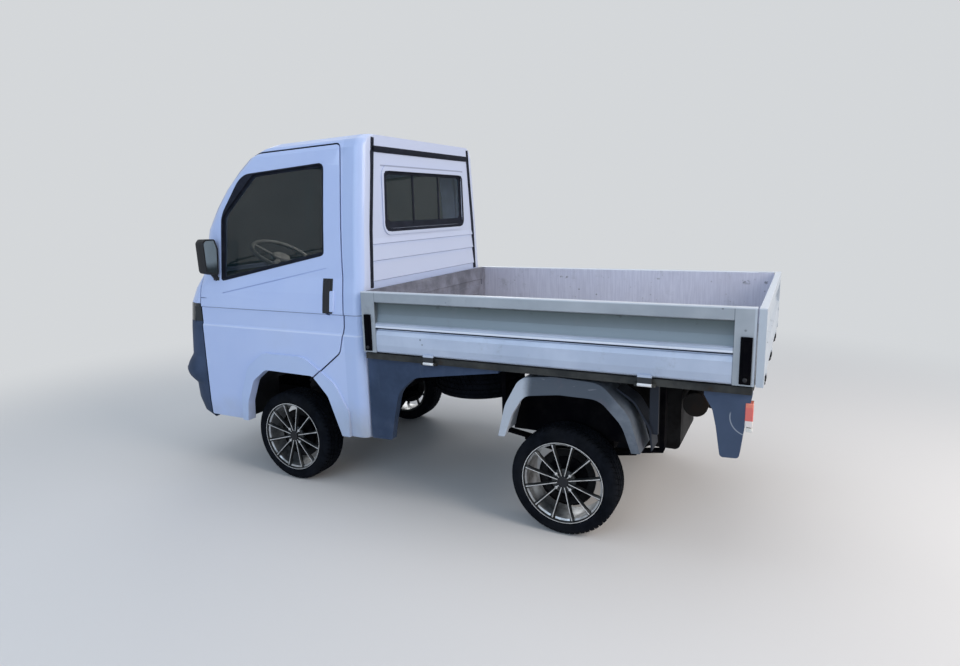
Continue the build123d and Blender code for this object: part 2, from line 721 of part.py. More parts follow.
# Rear axle, springs and drive
rear_axle = wheelbase
spring_x = 400.0
beam_radius = 34.0
leaf_half, leaf_bend, leaf_slope, leaf_gauge = 25.0, 700.0, 0.16, 12.0
spring_low = tyre_radius + beam_radius + 9.0  # on the pads of the axle
with BuildPart() as rear_axle_beam:
    hub_end = hub_face - seat_gap
    add(rod((-hub_end, rear_axle, tyre_radius), (hub_end, rear_axle, tyre_radius), 28))
    add(bar((-480, rear_axle, tyre_radius), (480, rear_axle, tyre_radius), beam_radius))
    for side in (-1, 1):
        ends = (side * 545, side * 600)
        add(bar((ends[0], rear_axle, tyre_radius), (ends[1], rear_axle, tyre_radius), drum_radius, 24))
        ends = sorted((side * (spring_x - leaf_half), side * (spring_x + leaf_half)))
        add(block(ends, (rear_axle - 45, rear_axle + 45), (tyre_radius + 20, spring_low - seat_gap)))
    add(bar((-120, rear_axle, tyre_radius), (80, rear_axle, tyre_radius), 96, 20))
save("rear_axle", rear_axle_beam.part)

spring_reach = 430.0
with BuildPart() as leaf_springs:
    bend_drop = leaf_bend * (sqrt(1 + leaf_slope**2) - 1)  # how far a bend lies above its corner
    for number, reach in enumerate((190, 300, spring_reach)):
        low = spring_low - bend_drop + number * leaf_gauge
        tip = low + reach * leaf_slope
        rows = [
            (rear_axle - reach, tip), (rear_axle, low), (rear_axle + reach, tip),
            (rear_axle + reach, tip + leaf_gauge), (rear_axle, low + leaf_gauge),
            (rear_axle - reach, tip + leaf_gauge),
        ]
        bends = [0, leaf_bend, 0, 0, leaf_bend, 0]
        add(side_prism(rows, bends, spring_x - leaf_half, spring_x + leaf_half))
    eye_height = spring_low - bend_drop + 2 * leaf_gauge + spring_reach * leaf_slope
    for place in (rear_axle - spring_reach + 8, rear_axle + spring_reach - 8):
        add(block((chassis_x + chassis_width / 2, spring_x + 20), (place - 12, place + 12),
                  (eye_height + 12, rear_rail_height + 60)))
    mirror(about=Plane.YZ)
save("leaf_springs", leaf_springs.part)

damper_x = 470.0
with BuildPart() as rear_dampers:
    damper_foot = tyre_radius + beam_radius + 5.2
    add(bar((damper_x, rear_axle + 60, tyre_radius + 40), (damper_x, rear_axle + 130, rear_rail_height), 22))
    add(bar((damper_x, rear_axle + 12, damper_foot), (damper_x, rear_axle + 66, tyre_radius + 80), 14))
    add(block((arm_inner_x, damper_x + 10), (rear_axle + 115, rear_axle + 145),
              (rear_rail_height - 10, rear_rail_height + 20)))
    mirror(about=Plane.YZ)
save("rear_dampers", rear_dampers.part)

with BuildPart() as engine_block:
    add(block((-220, 220), (rear_axle + 120, 2190), (350, rear_rail_height - 20)))
    fillet(engine_block.edges().filter_by(Axis.X), radius=30)
    for place in (-200, 180):
        add(block((place, place + 20), (2060, 2100), (rear_rail_height - 30, rear_rail_height + 5)))
save("engine_block", engine_block.part)

silencer_half, silencer_radius = 260.0, 60.0
silencer_back, silencer_height = 2262.0, 610.0
with BuildPart() as exhaust:
    ends = [(x, silencer_back, silencer_height) for x in (-silencer_half, silencer_half)]
    add(bar(ends[0], ends[1], silencer_radius, 20))
    hanger_top = rear_rail_height + 20
    add(block((-60, -30), (silencer_back - 12, silencer_back + 12), (silencer_height + 50, hanger_top)))
    add(block((-60, -30), (silencer_back - 12, 2475), (hanger_top - 30, hanger_top)))
    pipe_end = (200, silencer_back + 160, silencer_height - 20)
    add(bar((200, silencer_back + 40, silencer_height), pipe_end, 20))
save("exhaust", exhaust.part)

# Spare wheel, lying flat behind the cab
spare_x, spare_back, spare_low = 40.0, 960.0, 505.0
wheel_sides = 40
half_tyre = tyre_width / 2
bead_half = 64.0
tyre_rows = [
    (-half_tyre, 232), (-78, 258), (-62, tyre_radius), (62, tyre_radius), (78, 258), (half_tyre, 232),
]
bead_rows = [(-half_tyre, 229), (-bead_half, rim_seat), (bead_half, rim_seat), (half_tyre, 229)]
spare_plane = Plane(origin=(spare_x, back(spare_back), spare_low + half_tyre))
with BuildPart() as spare_wheel:
    add(turned(tyre_rows, wheel_sides, spare_plane))
    add(turned([(-half_tyre, 190), (-4, 165)], wheel_sides, spare_plane), mode=Mode.SUBTRACT)
    add(turned([(8, 165), (half_tyre, 190)], wheel_sides, spare_plane), mode=Mode.SUBTRACT)
save("spare_wheel", spare_wheel.part)

with BuildPart() as spare_carrier:
    carrier_low = spare_low - 22
    add(block((spare_x - 20, spare_x + 20), (630, 1330), (carrier_low, spare_low - seat_gap)))
    add(block((spare_x - 20, spare_x + 20), (630, 650), (carrier_low, rail_low)))
    add(block((spare_x - 20, spare_x + 20), (1310, 1330), (carrier_low, rear_rail_height + 5)))
save("spare_carrier", spare_carrier.part)

# Lower side pieces
with BuildPart() as side_skirts:
    skirt_rows = [(cab_rear + 6, 358), (741, 363), (764, 490), (800, 640), (902, 729), (1131, 763),
                  (1392, 800), (1392, rail_low), (cab_rear + 6, rail_low)]
    add(side_prism(skirt_rows, [10, 10, 60, 120, 120, 0, 0, 0, 0], 660, 702))
    mirror(about=Plane.YZ)
save("side_skirts", side_skirts.part)

fender_outer = [(1385, 477), (1424, 642), (1505, 790), (1677, 810), (1905, 800), (2039, 661), (2092, 488)]
fender_inner = [(2052, 486), (2006, 612), (1900, 722), (1704, 724), (1524, 700), (1463, 600), (1421, 480)]
outer_radii = [0, 160, 90, 200, 120, 180, 0]
with BuildPart() as rear_fenders:
    add(side_prism(fender_outer + fender_inner, outer_radii + [0, 160, 110, 160, 80, 120, 0], 676, 706))
    inner_line = [(distance, height - 7) for distance, height in fender_outer]
    wide_sheet = side_prism(fender_outer, outer_radii, 500, 690)
    add(wide_sheet - side_prism(inner_line, outer_radii, 499, 691, -6))
    for distance in (1600, 1800):
        add(block((620, 670), (distance - 15, distance + 15), (798, rail_low)))
    mirror(about=Plane.YZ)
save("rear_fenders", rear_fenders.part)

flap_rows = [(1965, 768), (2050, 712), (2124, 590), (2134, 490)]  # the flap behind each rear wheel
flap_sheet = 7.0
with BuildPart() as rear_mudguards:
    guard_rows = [(2354, rail_low), (2354, 796), (2390, 735), (2407, 659), (2428, 526), (2504, 530),
                  (2520, 674), (2543, 800), (2543, rail_low)]
    add(side_prism(guard_rows, [0, 10, 60, 60, 16, 16, 60, 10, 0], 640, 698))
    inner_rows = [(distance - flap_sheet, height - flap_sheet) for distance, height in reversed(flap_rows)]
    add(side_prism(flap_rows + inner_rows, [0, 110, 110, 0, 0, 100, 100, 0], 520, 640))
    add(block((600, 620), (2112, frame_bars[-1] - 6), (560, rail_low)))
    mirror(about=Plane.YZ)
save("rear_mudguards", rear_mudguards.part)

with BuildPart() as tail_lamps:
    add(block((644, 694), (2536, 2550), (682, 775)))
    add(rear_mudguards.part, mode=Mode.SUBTRACT)
    mirror(about=Plane.YZ)
save("tail_lamps", tail_lamps.part)

# Door mirrors
with BuildPart() as mirror_head:
    head_points = [(716, 1240), (806, 1262), (812, 1440), (790, 1460), (722, 1458), (704, 1400)]
    add(front_prism(head_points, [16, 24, 24, 20, 20, 30], -506, -446))
    add(front_prism(head_points, [10, 18, 18, 14, 14, 24], -452, -440, -8), mode=Mode.SUBTRACT)
    add(rod((700, -478, 1216), (740, -476, 1262), 16))
    add(block((690, 712), (-500, -452), (1190, 1230)))
    add(full_cab, mode=Mode.SUBTRACT)
save_pair("mirror", mirror_head.part)

with BuildPart() as mirror_glass:
    add(front_prism(head_points, [10, 18, 18, 14, 14, 24], -452, -449, -8 - seat_gap))
save_pair("mirror_glass", mirror_glass.part)

# Wheels, made about a vertical axis with the outer face up and then set on the axles
hub_depth = hub_face - wheel_x
spoke_root, spoke_crest, spoke_top = 6.5, 1.0, 77.0  # half widths of a spoke, and where its sides end
nut_circle, nut_count, nut_pocket = 50.0, 4, 8.5
with BuildPart() as tyre:
    add(turned(tyre_rows, wheel_sides) - turned(bead_rows, wheel_sides))

bead_fit = rim_seat - seat_gap
barrel_rows = [(-78, 205), (-bead_half - 1.5, bead_fit), (bead_half + 1.5, bead_fit), (72, rim_flange),
               (81, rim_flange)]
bore_rows = [(-78, 187), (70, 187), (81, 202)]
with BuildPart() as ridge_prism:
    with BuildSketch(Plane.YZ):
        with BuildLine():
            Polyline((-spoke_root, hub_depth), (spoke_root, hub_depth), (spoke_crest, spoke_top),
                     (-spoke_crest, spoke_top), close=True)
        make_face()
    extrude(amount=tyre_radius)
ridge = ridge_prism.part
with BuildPart() as rim:
    add(turned(barrel_rows, wheel_sides) - turned(bore_rows, wheel_sides))
    with BuildSketch(Plane.XY.offset(hub_depth)):
        Circle(60)
    extrude(amount=18)
    with BuildSketch(Plane.XY.offset(hub_depth)):
        Circle(32)
    extrude(amount=32)
    for number in range(spoke_count):
        with BuildSketch(Plane.XZ) as spoke:
            with BuildLine():
                Polyline((26, hub_depth + 28), (26, hub_depth + 2), (150, hub_depth + 6),
                         (189, hub_depth + 14), (189, 75), (70, hub_depth + 30), close=True)
            make_face()
        blade = extrude(spoke.sketch, amount=spoke_root, both=True, mode=Mode.PRIVATE) & ridge
        add(blade.rotate(Axis.Z, (number + 0.5) * 360 / spoke_count))
    with PolarLocations(nut_circle, nut_count):
        add(turned([(hub_depth + 8, nut_pocket), (hub_depth + 40, nut_pocket)], 8), mode=Mode.SUBTRACT)

wheel_places = [("front", 0.0), ("rear", wheelbase)]
for place, distance in wheel_places:
    for side_name, side in (("left", 1), ("right", -1)):
        centre = (side * wheel_x, back(distance), tyre_radius)
        stand = Plane(origin=centre, x_dir=(0, 1, 0), z_dir=(side, 0, 0))
        save(f"tyre_{place}_{side_name}", tyre.part.moved(Location(stand)))
        save(f"rim_{place}_{side_name}", rim.part.moved(Location(stand)))
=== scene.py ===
import json
import math
import bpy
import bmesh
from mathutils import Matrix, Vector, geometry
from mathutils.bvhtree import BVHTree


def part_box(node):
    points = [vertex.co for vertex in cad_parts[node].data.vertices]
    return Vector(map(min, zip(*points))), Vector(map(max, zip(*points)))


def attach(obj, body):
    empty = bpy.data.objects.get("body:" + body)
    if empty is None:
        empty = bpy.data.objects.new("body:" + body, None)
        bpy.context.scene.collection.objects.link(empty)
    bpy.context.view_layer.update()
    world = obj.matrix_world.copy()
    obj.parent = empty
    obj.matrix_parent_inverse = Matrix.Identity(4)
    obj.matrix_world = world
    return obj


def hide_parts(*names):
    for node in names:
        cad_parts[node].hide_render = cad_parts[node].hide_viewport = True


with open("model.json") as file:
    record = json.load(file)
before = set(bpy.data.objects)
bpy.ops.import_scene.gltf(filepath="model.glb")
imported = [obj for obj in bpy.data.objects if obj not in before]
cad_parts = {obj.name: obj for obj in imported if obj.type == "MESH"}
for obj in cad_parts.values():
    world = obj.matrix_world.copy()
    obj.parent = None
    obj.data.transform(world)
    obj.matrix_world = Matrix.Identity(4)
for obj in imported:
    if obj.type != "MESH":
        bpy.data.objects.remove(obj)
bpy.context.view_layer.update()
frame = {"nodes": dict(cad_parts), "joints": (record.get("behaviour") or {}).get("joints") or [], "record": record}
nodes = frame["nodes"]
scene = bpy.context.scene
sides = {"left": 1, "right": -1}
print("frame loaded:", len(nodes), "nodes")

# Where the axles stand along the truck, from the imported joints
joints = {joint["name"]: joint for joint in frame["joints"]}
frontAxle, rearAxle = (joints[f"wheel_{place}_left_spin"]["pos_m"][1] for place in ("front", "rear"))


def behind(distance):
    # Y of a place this many metres behind the front axle
    return frontAxle + distance


# Shader nodes written as expressions

class Link:
    # one output of a shader node, with arithmetic on it
    def __init__(self, graph, socket):
        self.graph = graph
        self.socket = socket

    def __add__(self, other):
        return self.graph.maths("ADD", self, other)

    def __sub__(self, other):
        return self.graph.maths("SUBTRACT", self, other)

    def __rsub__(self, other):
        return self.graph.maths("SUBTRACT", other, self)

    def __mul__(self, other):
        return self.graph.maths("MULTIPLY", self, other)

    def __abs__(self):
        return self.graph.maths("ABSOLUTE", self, 0.0)

    __radd__ = __add__
    __rmul__ = __mul__


class Graph:
    # a node tree that is filled by method calls
    def __init__(self, tree):
        self.tree = tree
        tree.nodes.clear()

    def join(self, socket, value):
        if isinstance(value, Link):
            self.tree.links.new(value.socket, socket)
        elif isinstance(value, tuple) and socket.type == "RGBA":
            socket.default_value = (*value, 1.0)
        else:
            socket.default_value = value

    def node(self, kind, settings=None, inputs=None, out=0):
        made = self.tree.nodes.new(kind)
        for name, value in (settings or {}).items():
            setattr(made, name, value)
        for name, value in (inputs or {}).items():
            self.join(made.inputs[name], value)
        return Link(self, made.outputs[out]) if made.outputs else made

    def maths(self, operation, first, second):
        return self.node("ShaderNodeMath", {"operation": operation}, {0: first, 1: second})

    def background(self):
        # 1 for the rays that meet the background itself, straight, in a reflection or through glass
        rays = [self.node("ShaderNodeLightPath", out=f"Is {name} Ray") for name in ("Camera", "Glossy", "Transmission")]
        return self.maths("MAXIMUM", self.maths("MAXIMUM", rays[0], rays[1]), rays[2])


class Finish(Graph):
    # a material, with the patterns that the finishes share
    def __init__(self, name, **constants):
        self.material = bpy.data.materials.new(name)
        self.material.use_nodes = True
        super().__init__(self.material.node_tree)
        self.shader = self.tree.nodes.new("ShaderNodeBsdfPrincipled")
        self.base = Link(self, self.shader.outputs[0])
        self.output = self.node("ShaderNodeOutputMaterial", {}, {"Surface": self.base})
        self.put(**constants)
        self.place = self.node("ShaderNodeTexCoord", out="Object")

    def put(self, **values):
        # sockets of the shader, with underscores for spaces
        for name, value in values.items():
            self.join(self.shader.inputs[name.replace("_", " ")], value)

    def noise(self, scale, detail=3.0, roughness=0.55, stretch=(1, 1, 1)):
        place = self.place
        if stretch != (1, 1, 1):
            place = self.node("ShaderNodeMapping", {}, {"Vector": place, "Scale": stretch})
        return self.node("ShaderNodeTexNoise", {}, {
            "Vector": place, "Scale": scale, "Detail": detail, "Roughness": roughness})

    def fleck(self, scale):
        # distance to the nearest of many scattered points
        return self.node("ShaderNodeTexVoronoi", {"feature": "F1"}, {"Vector": self.place, "Scale": scale})

    def rise(self, value, low, high):
        # 0 below low, 1 above high, smooth between
        return self.node("ShaderNodeMapRange", {"interpolation_type": "SMOOTHSTEP"},
                         {"Value": value, "From Min": low, "From Max": high})

    def fall(self, value, low, high):
        return 1.0 - self.rise(value, low, high)

    def band(self, value, low, high, fallLow, fallHigh):
        # 1 between the rise and the fall
        return self.rise(value, low, high) * self.fall(value, fallLow, fallHigh)

    def axis(self, name):
        return self.node("ShaderNodeSeparateXYZ", {}, {"Vector": self.place}, name)

    def mix(self, factor, first, second):
        return self.node("ShaderNodeMix", {"data_type": "RGBA"}, {0: factor, 6: first, 7: second}, 2)

    def shade(self, value, low, high, first, second):
        # the first colour, turning into the second as the value rises
        return self.mix(self.rise(value, low, high), first, second)

    def bump(self, height, distance, strength=1.0):
        normal = self.node("ShaderNodeBump", {}, {"Height": height, "Distance": distance, "Strength": strength})
        self.put(Normal=normal)


# Finishes, each named for what it covers

def whitePaint():
    finish = Finish("whitePaint", Coat_Roughness=0.10, Coat_Weight=0.25, Specular_IOR_Level=0.4)
    along, height, across = finish.axis("Y"), finish.axis("Z"), abs(finish.axis("X"))
    side = finish.rise(across, 0.698, 0.706)
    cloud = finish.noise(2.3, 4)
    dust = finish.rise(cloud + finish.fall(height, 0.34, 0.70) * 0.45, 0.60, 1.20)
    speck = finish.fall(finish.fleck(60), 0.02, 0.055) * finish.rise(finish.noise(9, 2), 0.56, 0.66)
    # painted shade: the white paint is given bluish tones, as it looks in blue sky shade
    shadedAndLitPaint = finish.shade(cloud, 0.3, 0.7, (0.450, 0.548, 0.820), (0.488, 0.582, 0.835))
    # painted light: the rear face lighter and more neutral than the sides, and a painted highlight along the roof edge
    rearAndRoofLight = finish.rise(along, behind(0.596), behind(0.600)) * 0.55
    rearAndRoofLight = finish.maths("MAXIMUM", rearAndRoofLight, finish.rise(height, 1.955, 1.985) * 0.3)
    quarter = finish.rise(along, behind(0.478), behind(0.484))
    shadedAndLitPaint = finish.mix(quarter * 0.45, shadedAndLitPaint, (0.36, 0.47, 0.72))
    shadedAndLitPaint = finish.mix(rearAndRoofLight, shadedAndLitPaint, (0.575, 0.600, 0.710))
    dustAndShade = finish.mix(dust, shadedAndLitPaint, (0.36, 0.40, 0.48))
    # painted shadow: a dark line along the crease on the cab's sides
    creaseShadow = finish.band(height, 1.0435, 1.0455, 1.0485, 1.0505) * side
    # painted highlight: a pale line along the ledge on the cab's sides
    ledgeHighlight = finish.band(height, 0.928, 0.933, 0.936, 0.942) * side
    # painted shade: the raised wheel-arch flare a little darker than the door
    flareShade = finish.rise(across, 0.7440, 0.7462)
    # painted shadow: a dark line along the diagonal crease on the cab's sides
    fold = abs(height - (along - behind(-0.420)) * 0.2045 - 1.1372)
    bendShadow = finish.fall(fold, 0.0015, 0.0050) * side
    bendShadow = bendShadow * finish.band(along, behind(-0.44), behind(-0.40), behind(0.345), behind(0.37))
    # painted shadow: a dark line along the pressed line near the top of the rear face
    press = finish.band(height, 1.8360, 1.8385, 1.8440, 1.8475) * finish.fall(across, 0.474, 0.480)
    dustAndShade = finish.mix(press * finish.rise(along, behind(0.590), behind(0.592)) * 0.8, dustAndShade, (0.22, 0.25, 0.36))
    colour = finish.mix(ledgeHighlight * 0.5, finish.mix(creaseShadow * 0.75, dustAndShade, (0.10, 0.13, 0.22)), (0.68, 0.74, 0.90))
    colour = finish.mix(flareShade * 0.30, finish.mix(bendShadow * 0.45, colour, (0.22, 0.30, 0.56)), (0.37, 0.48, 0.66))
    finish.put(Base_Color=finish.mix(speck * 0.35, colour, (0.20, 0.21, 0.24)))
    finish.put(Roughness=0.28 + dust * 0.30 + finish.noise(18, 3) * 0.08)
    finish.bump(finish.noise(240, 1), 0.0001, 0.3)
    return finish.material


def slatePlastic():
    finish = Finish("slatePlastic", Specular_IOR_Level=0.3)
    fade = finish.noise(4.5, 5, 0.6)
    streak = finish.noise(3.0, 4, 0.6, (6, 6, 0.7))
    colour = finish.shade(fade, 0.35, 0.7, (0.020, 0.038, 0.078), (0.040, 0.064, 0.122))
    chalk = finish.rise(streak, 0.58, 0.78) * 0.30
    dust = finish.fall(finish.axis("Z"), 0.36, 0.60) * finish.rise(fade, 0.4, 0.75) * 0.3
    colour = finish.mix(chalk, colour, (0.085, 0.115, 0.175))
    along, height = finish.axis("Y"), finish.axis("Z")
    guard = finish.rise(along, behind(2.30), behind(2.34))
    colour = finish.mix(guard * 0.35, colour, (0.090, 0.125, 0.200))
    beside, over = along - 1.712, height - 0.712
    reach = beside * beside + over * over
    ring = finish.fall(abs(reach - 0.00608), 0.0002, 0.0005) * guard
    ring = ring * finish.fall(along, 1.69, 1.70) * finish.fall(height, 0.72, 0.735)
    colour = finish.mix(ring * 0.7, colour, (0.34, 0.37, 0.42))
    within = finish.fall(abs(finish.axis("X")), 0.640, 0.642)
    flap = within * finish.rise(along, behind(1.90), behind(1.91))
    colour = finish.mix(flap * 0.85, colour, (0.012, 0.014, 0.019))
    finish.put(Base_Color=finish.mix(dust, colour, (0.10, 0.10, 0.105)))
    finish.put(Roughness=0.55 + fade * 0.22)
    finish.bump(finish.noise(520, 2), 0.0003, 0.35)
    return finish.material


def weatheredGrey():
    finish = Finish("weatheredGrey", Specular_IOR_Level=0.3)
    patch = finish.noise(3.4, 5, 0.62)
    along = finish.axis("Y")
    front = finish.fall(along, rearAxle - 0.24, rearAxle - 0.12)
    rear = finish.rise(along, rearAxle + 0.12, rearAxle + 0.30)
    pale = finish.rise(patch * 0.5 + front * 0.64 + rear * 0.15, 0.30, 0.72)
    colour = finish.mix(pale, (0.072, 0.088, 0.112), (0.45, 0.49, 0.55))
    stain = finish.rise(finish.noise(11, 4), 0.58, 0.72) * 0.5
    scratch = finish.rise(finish.noise(16, 3, 0.6, (1, 1, 5)), 0.66, 0.74) * 0.4
    colour = finish.mix(stain, colour, (0.11, 0.10, 0.125))
    finish.put(Base_Color=finish.mix(scratch, colour, (0.30, 0.31, 0.35)))
    finish.put(Roughness=0.55 + patch * 0.25)
    finish.bump(finish.noise(300, 2), 0.0003, 0.3)
    return finish.material


def boardAluminium():
    finish = Finish("boardAluminium", Specular_IOR_Level=0.25)
    along, height, across = finish.axis("Y"), finish.axis("Z"), abs(finish.axis("X"))
    drawn = finish.noise(34, 3, 0.6, (1, 0.05, 1))
    cloud = finish.noise(2.6, 4, 0.6)
    # outside, from the lower panel up to the flange
    panel = finish.shade(cloud, 0.35, 0.7, (0.41, 0.475, 0.60), (0.50, 0.565, 0.69))
    flange = finish.shade(cloud, 0.35, 0.7, (0.31, 0.345, 0.385), (0.40, 0.435, 0.475))
    # painted shade in the upper recess, darker towards its top under the flange
    hollowShade = finish.shade(height + cloud * 0.03, 1.050, 1.135, (0.20, 0.245, 0.28), (0.105, 0.130, 0.135))
    # painted shadow: a thin dark line in the groove under the ledge; painted highlight: a pale line on the ledge above
    # it
    groove = finish.band(height, 0.9820, 0.9835, 0.9885, 0.9900)
    lipHighlight = finish.band(height, 0.9915, 0.9930, 1.0010, 1.0040)
    panel = finish.mix(lipHighlight, finish.mix(groove, panel, (0.020, 0.026, 0.042)), (0.72, 0.77, 0.86))
    recess = finish.band(height, 1.016, 1.022, 1.124, 1.128)
    outside = finish.mix(recess, finish.shade(height, 1.10, 1.13, panel, flange), hollowShade)
    reach = abs(along - behind(1.5805))
    seam = finish.band(reach, 0.8815, 0.8825, 0.8850, 0.8865)
    outside = finish.shade(reach, 0.884, 0.886, outside, flange)
    outside = finish.mix(seam * 0.55, outside, (0.10, 0.115, 0.13))
    outside = finish.shade(along, behind(2.5400), behind(2.5410), outside, (0.48, 0.53, 0.59))
    # inside, with standing scratches and knocks
    scrape = finish.noise(90, 4, 0.65, (1, 1, 0.07))
    knock = finish.fall(finish.fleck(30), 0.04, 0.14) * finish.rise(finish.noise(7, 2), 0.50, 0.60)
    inner = finish.shade(scrape, 0.34, 0.68, (0.555, 0.560, 0.670), (0.640, 0.645, 0.750))
    inner = finish.mix(finish.rise(cloud, 0.45, 0.75) * 0.30, inner, (0.44, 0.43, 0.50))
    inner = finish.mix(knock * 0.60, inner, (0.20, 0.19, 0.20))
    within = finish.fall(across, 0.7004, 0.7016) * finish.fall(along, behind(2.5554), behind(2.5562))
    colour = finish.mix(within, outside, inner)
    grime = finish.rise(finish.noise(7, 5, 0.7), 0.56, 0.76) * 0.35
    under = finish.band(height, 1.100, 1.118, 1.124, 1.134)
    smudge = finish.rise(finish.noise(13, 3, 0.6), 0.60, 0.66) * under
    colour = finish.mix(smudge * 0.6, colour, (0.05, 0.055, 0.055))
    spot = finish.fall(finish.fleck(16), 0.03, 0.12) * finish.rise(finish.noise(5, 2), 0.50, 0.60)
    colour = finish.mix(grime, colour, (0.17, 0.185, 0.20))
    colour = finish.mix(spot * 0.75, colour, (0.09, 0.10, 0.11))
    ear = finish.fall(height, 0.8565, 0.8575)
    barrel = finish.fall(height, 0.8295, 0.8305)
    # painted highlight: a pale line along the board's top edge
    brimHighlight = finish.rise(height, 1.1755, 1.1780)
    colour = finish.mix(brimHighlight * 0.8, colour, (0.66, 0.70, 0.76))
    colour = finish.mix(ear, colour, (0.035, 0.038, 0.042))
    finish.put(Base_Color=finish.mix(barrel, colour, (0.70, 0.71, 0.73)))
    finish.put(Metallic=0.25 + cloud * 0.15, Roughness=0.40 + drawn * 0.14 + grime * 0.2)
    finish.bump(drawn + finish.noise(150, 2) * 0.4, 0.0003, 0.35)
    return finish.material


def floorPlate():
    finish = Finish("floorPlate")
    wear = finish.noise(5, 5, 0.65)
    scrape = finish.noise(60, 3, 0.6, (1, 0.04, 1))
    colour = finish.shade(wear, 0.38, 0.66, (0.30, 0.30, 0.29), (0.46, 0.47, 0.48))
    rust = finish.rise(finish.noise(13, 4), 0.66, 0.76) * 0.6
    finish.put(Base_Color=finish.mix(rust, colour, (0.22, 0.12, 0.07)))
    finish.put(Metallic=0.55 - rust * 0.5, Roughness=0.42 + scrape * 0.25)
    finish.bump(scrape + wear * 0.6, 0.0006, 0.4)
    return finish.material


def headboardPaint():
    finish = Finish("headboardPaint", Specular_IOR_Level=0.3)
    stain = finish.noise(6, 5, 0.65)
    scrape = finish.rise(finish.noise(26, 3, 0.6, (0.12, 1, 1)), 0.60, 0.72) * 0.4
    colour = finish.shade(stain, 0.35, 0.7, (0.105, 0.110, 0.140), (0.205, 0.215, 0.275))
    finish.put(Base_Color=finish.mix(scrape, colour, (0.34, 0.35, 0.40)))
    finish.put(Roughness=0.55 + stain * 0.25, Metallic=scrape * 0.4)
    finish.bump(stain + scrape * 0.5, 0.0005, 0.35)
    return finish.material


def framePaint():
    finish = Finish("framePaint", Specular_IOR_Level=0.25)
    dirt = finish.noise(7, 5, 0.65)
    rust = finish.rise(finish.noise(15, 5, 0.7), 0.57, 0.70)
    colour = finish.shade(dirt, 0.35, 0.7, (0.018, 0.020, 0.021), (0.052, 0.052, 0.048))
    finish.put(Base_Color=finish.mix(rust * 0.4, colour, (0.055, 0.035, 0.022)))
    finish.put(Roughness=0.68 + rust * 0.22)
    finish.bump(dirt + rust * 0.5, 0.0008, 0.4)
    return finish.material


def chassisPaint():
    finish = Finish("chassisPaint", Specular_IOR_Level=0.02)
    dirt = finish.noise(8, 5, 0.65)
    rust = finish.rise(finish.noise(12, 5, 0.7), 0.62, 0.74)
    colour = finish.shade(dirt, 0.4, 0.75, (0.0025, 0.0025, 0.004), (0.009, 0.0085, 0.009))
    finish.put(Base_Color=finish.mix(rust * 0.4, colour, (0.018, 0.011, 0.008)))
    finish.put(Roughness=0.72 + dirt * 0.2)
    finish.bump(dirt, 0.0008, 0.4)
    return finish.material


def blackPlastic():
    finish = Finish("blackPlastic", Specular_IOR_Level=0.35)
    fade = finish.noise(6, 4)
    dust = finish.rise(finish.noise(3, 5, 0.65), 0.5, 0.8) * 0.25
    colour = finish.shade(fade, 0.35, 0.7, (0.007, 0.008, 0.011), (0.014, 0.016, 0.020))
    finish.put(Base_Color=finish.mix(dust, colour, (0.034, 0.035, 0.038)))
    finish.put(Roughness=0.45 + fade * 0.2)
    finish.bump(finish.noise(900, 2), 0.0002, 0.35)
    return finish.material


def seatFabric():
    finish = Finish("seatFabric", Sheen_Weight=0.25, Specular_IOR_Level=0.2)
    weave = finish.node("ShaderNodeTexWave", {"bands_direction": "X"},
                        {"Vector": finish.place, "Scale": 150, "Distortion": 0.6, "Detail": 1})
    weft = finish.node("ShaderNodeTexWave", {"bands_direction": "Y"},
                       {"Vector": finish.place, "Scale": 150, "Distortion": 0.6, "Detail": 1})
    worn = finish.noise(7, 4)
    cloth = finish.mix(weave * weft, (0.030, 0.034, 0.042), (0.095, 0.10, 0.115))
    finish.put(Base_Color=finish.mix(finish.rise(worn, 0.5, 0.75) * 0.4, cloth, (0.13, 0.125, 0.12)))
    finish.put(Roughness=0.82 + worn * 0.12)
    finish.bump(weave + weft, 0.0006, 0.5)
    return finish.material


def clearGlass():
    finish = Finish("clearGlass", IOR=1.45, Specular_IOR_Level=0.27)
    haze = finish.noise(5, 4)
    # painted reflections: dark green-grey glass with lighter bluish patches; the patches are also smears that make the
    # glass rougher and less clear
    smearAndReflection = finish.rise(finish.noise(3, 5, 0.7, (1, 1, 0.4)), 0.5, 0.75)
    finish.put(Base_Color=finish.mix(smearAndReflection, (0.002, 0.011, 0.014), (0.011, 0.026, 0.030)))
    finish.put(Roughness=0.02 + smearAndReflection * 0.05, Alpha=0.53 + haze * 0.08 + smearAndReflection * 0.06)
    return finish.material


def lampLens():
    finish = Finish("lampLens", Coat_Roughness=0.03, Specular_IOR_Level=0.25)
    flutes = finish.node("ShaderNodeTexWave", {"bands_direction": "X"}, {"Vector": finish.place, "Scale": 26})
    haze = finish.noise(6, 4)
    smoked = finish.rise(abs(finish.axis("X")), 0.600, 0.606)
    glow = finish.shade(haze, 0.35, 0.7, (0.52, 0.56, 0.60), (0.70, 0.73, 0.76))
    finish.put(Base_Color=finish.mix(smoked, glow, (0.006, 0.014, 0.020)))
    finish.put(Metallic=0.55 - smoked * 0.55, Roughness=0.16 + haze * 0.08, Coat_Weight=1.0 - smoked * 0.8)
    finish.bump(flutes, 0.0012, 0.6)
    return finish.material


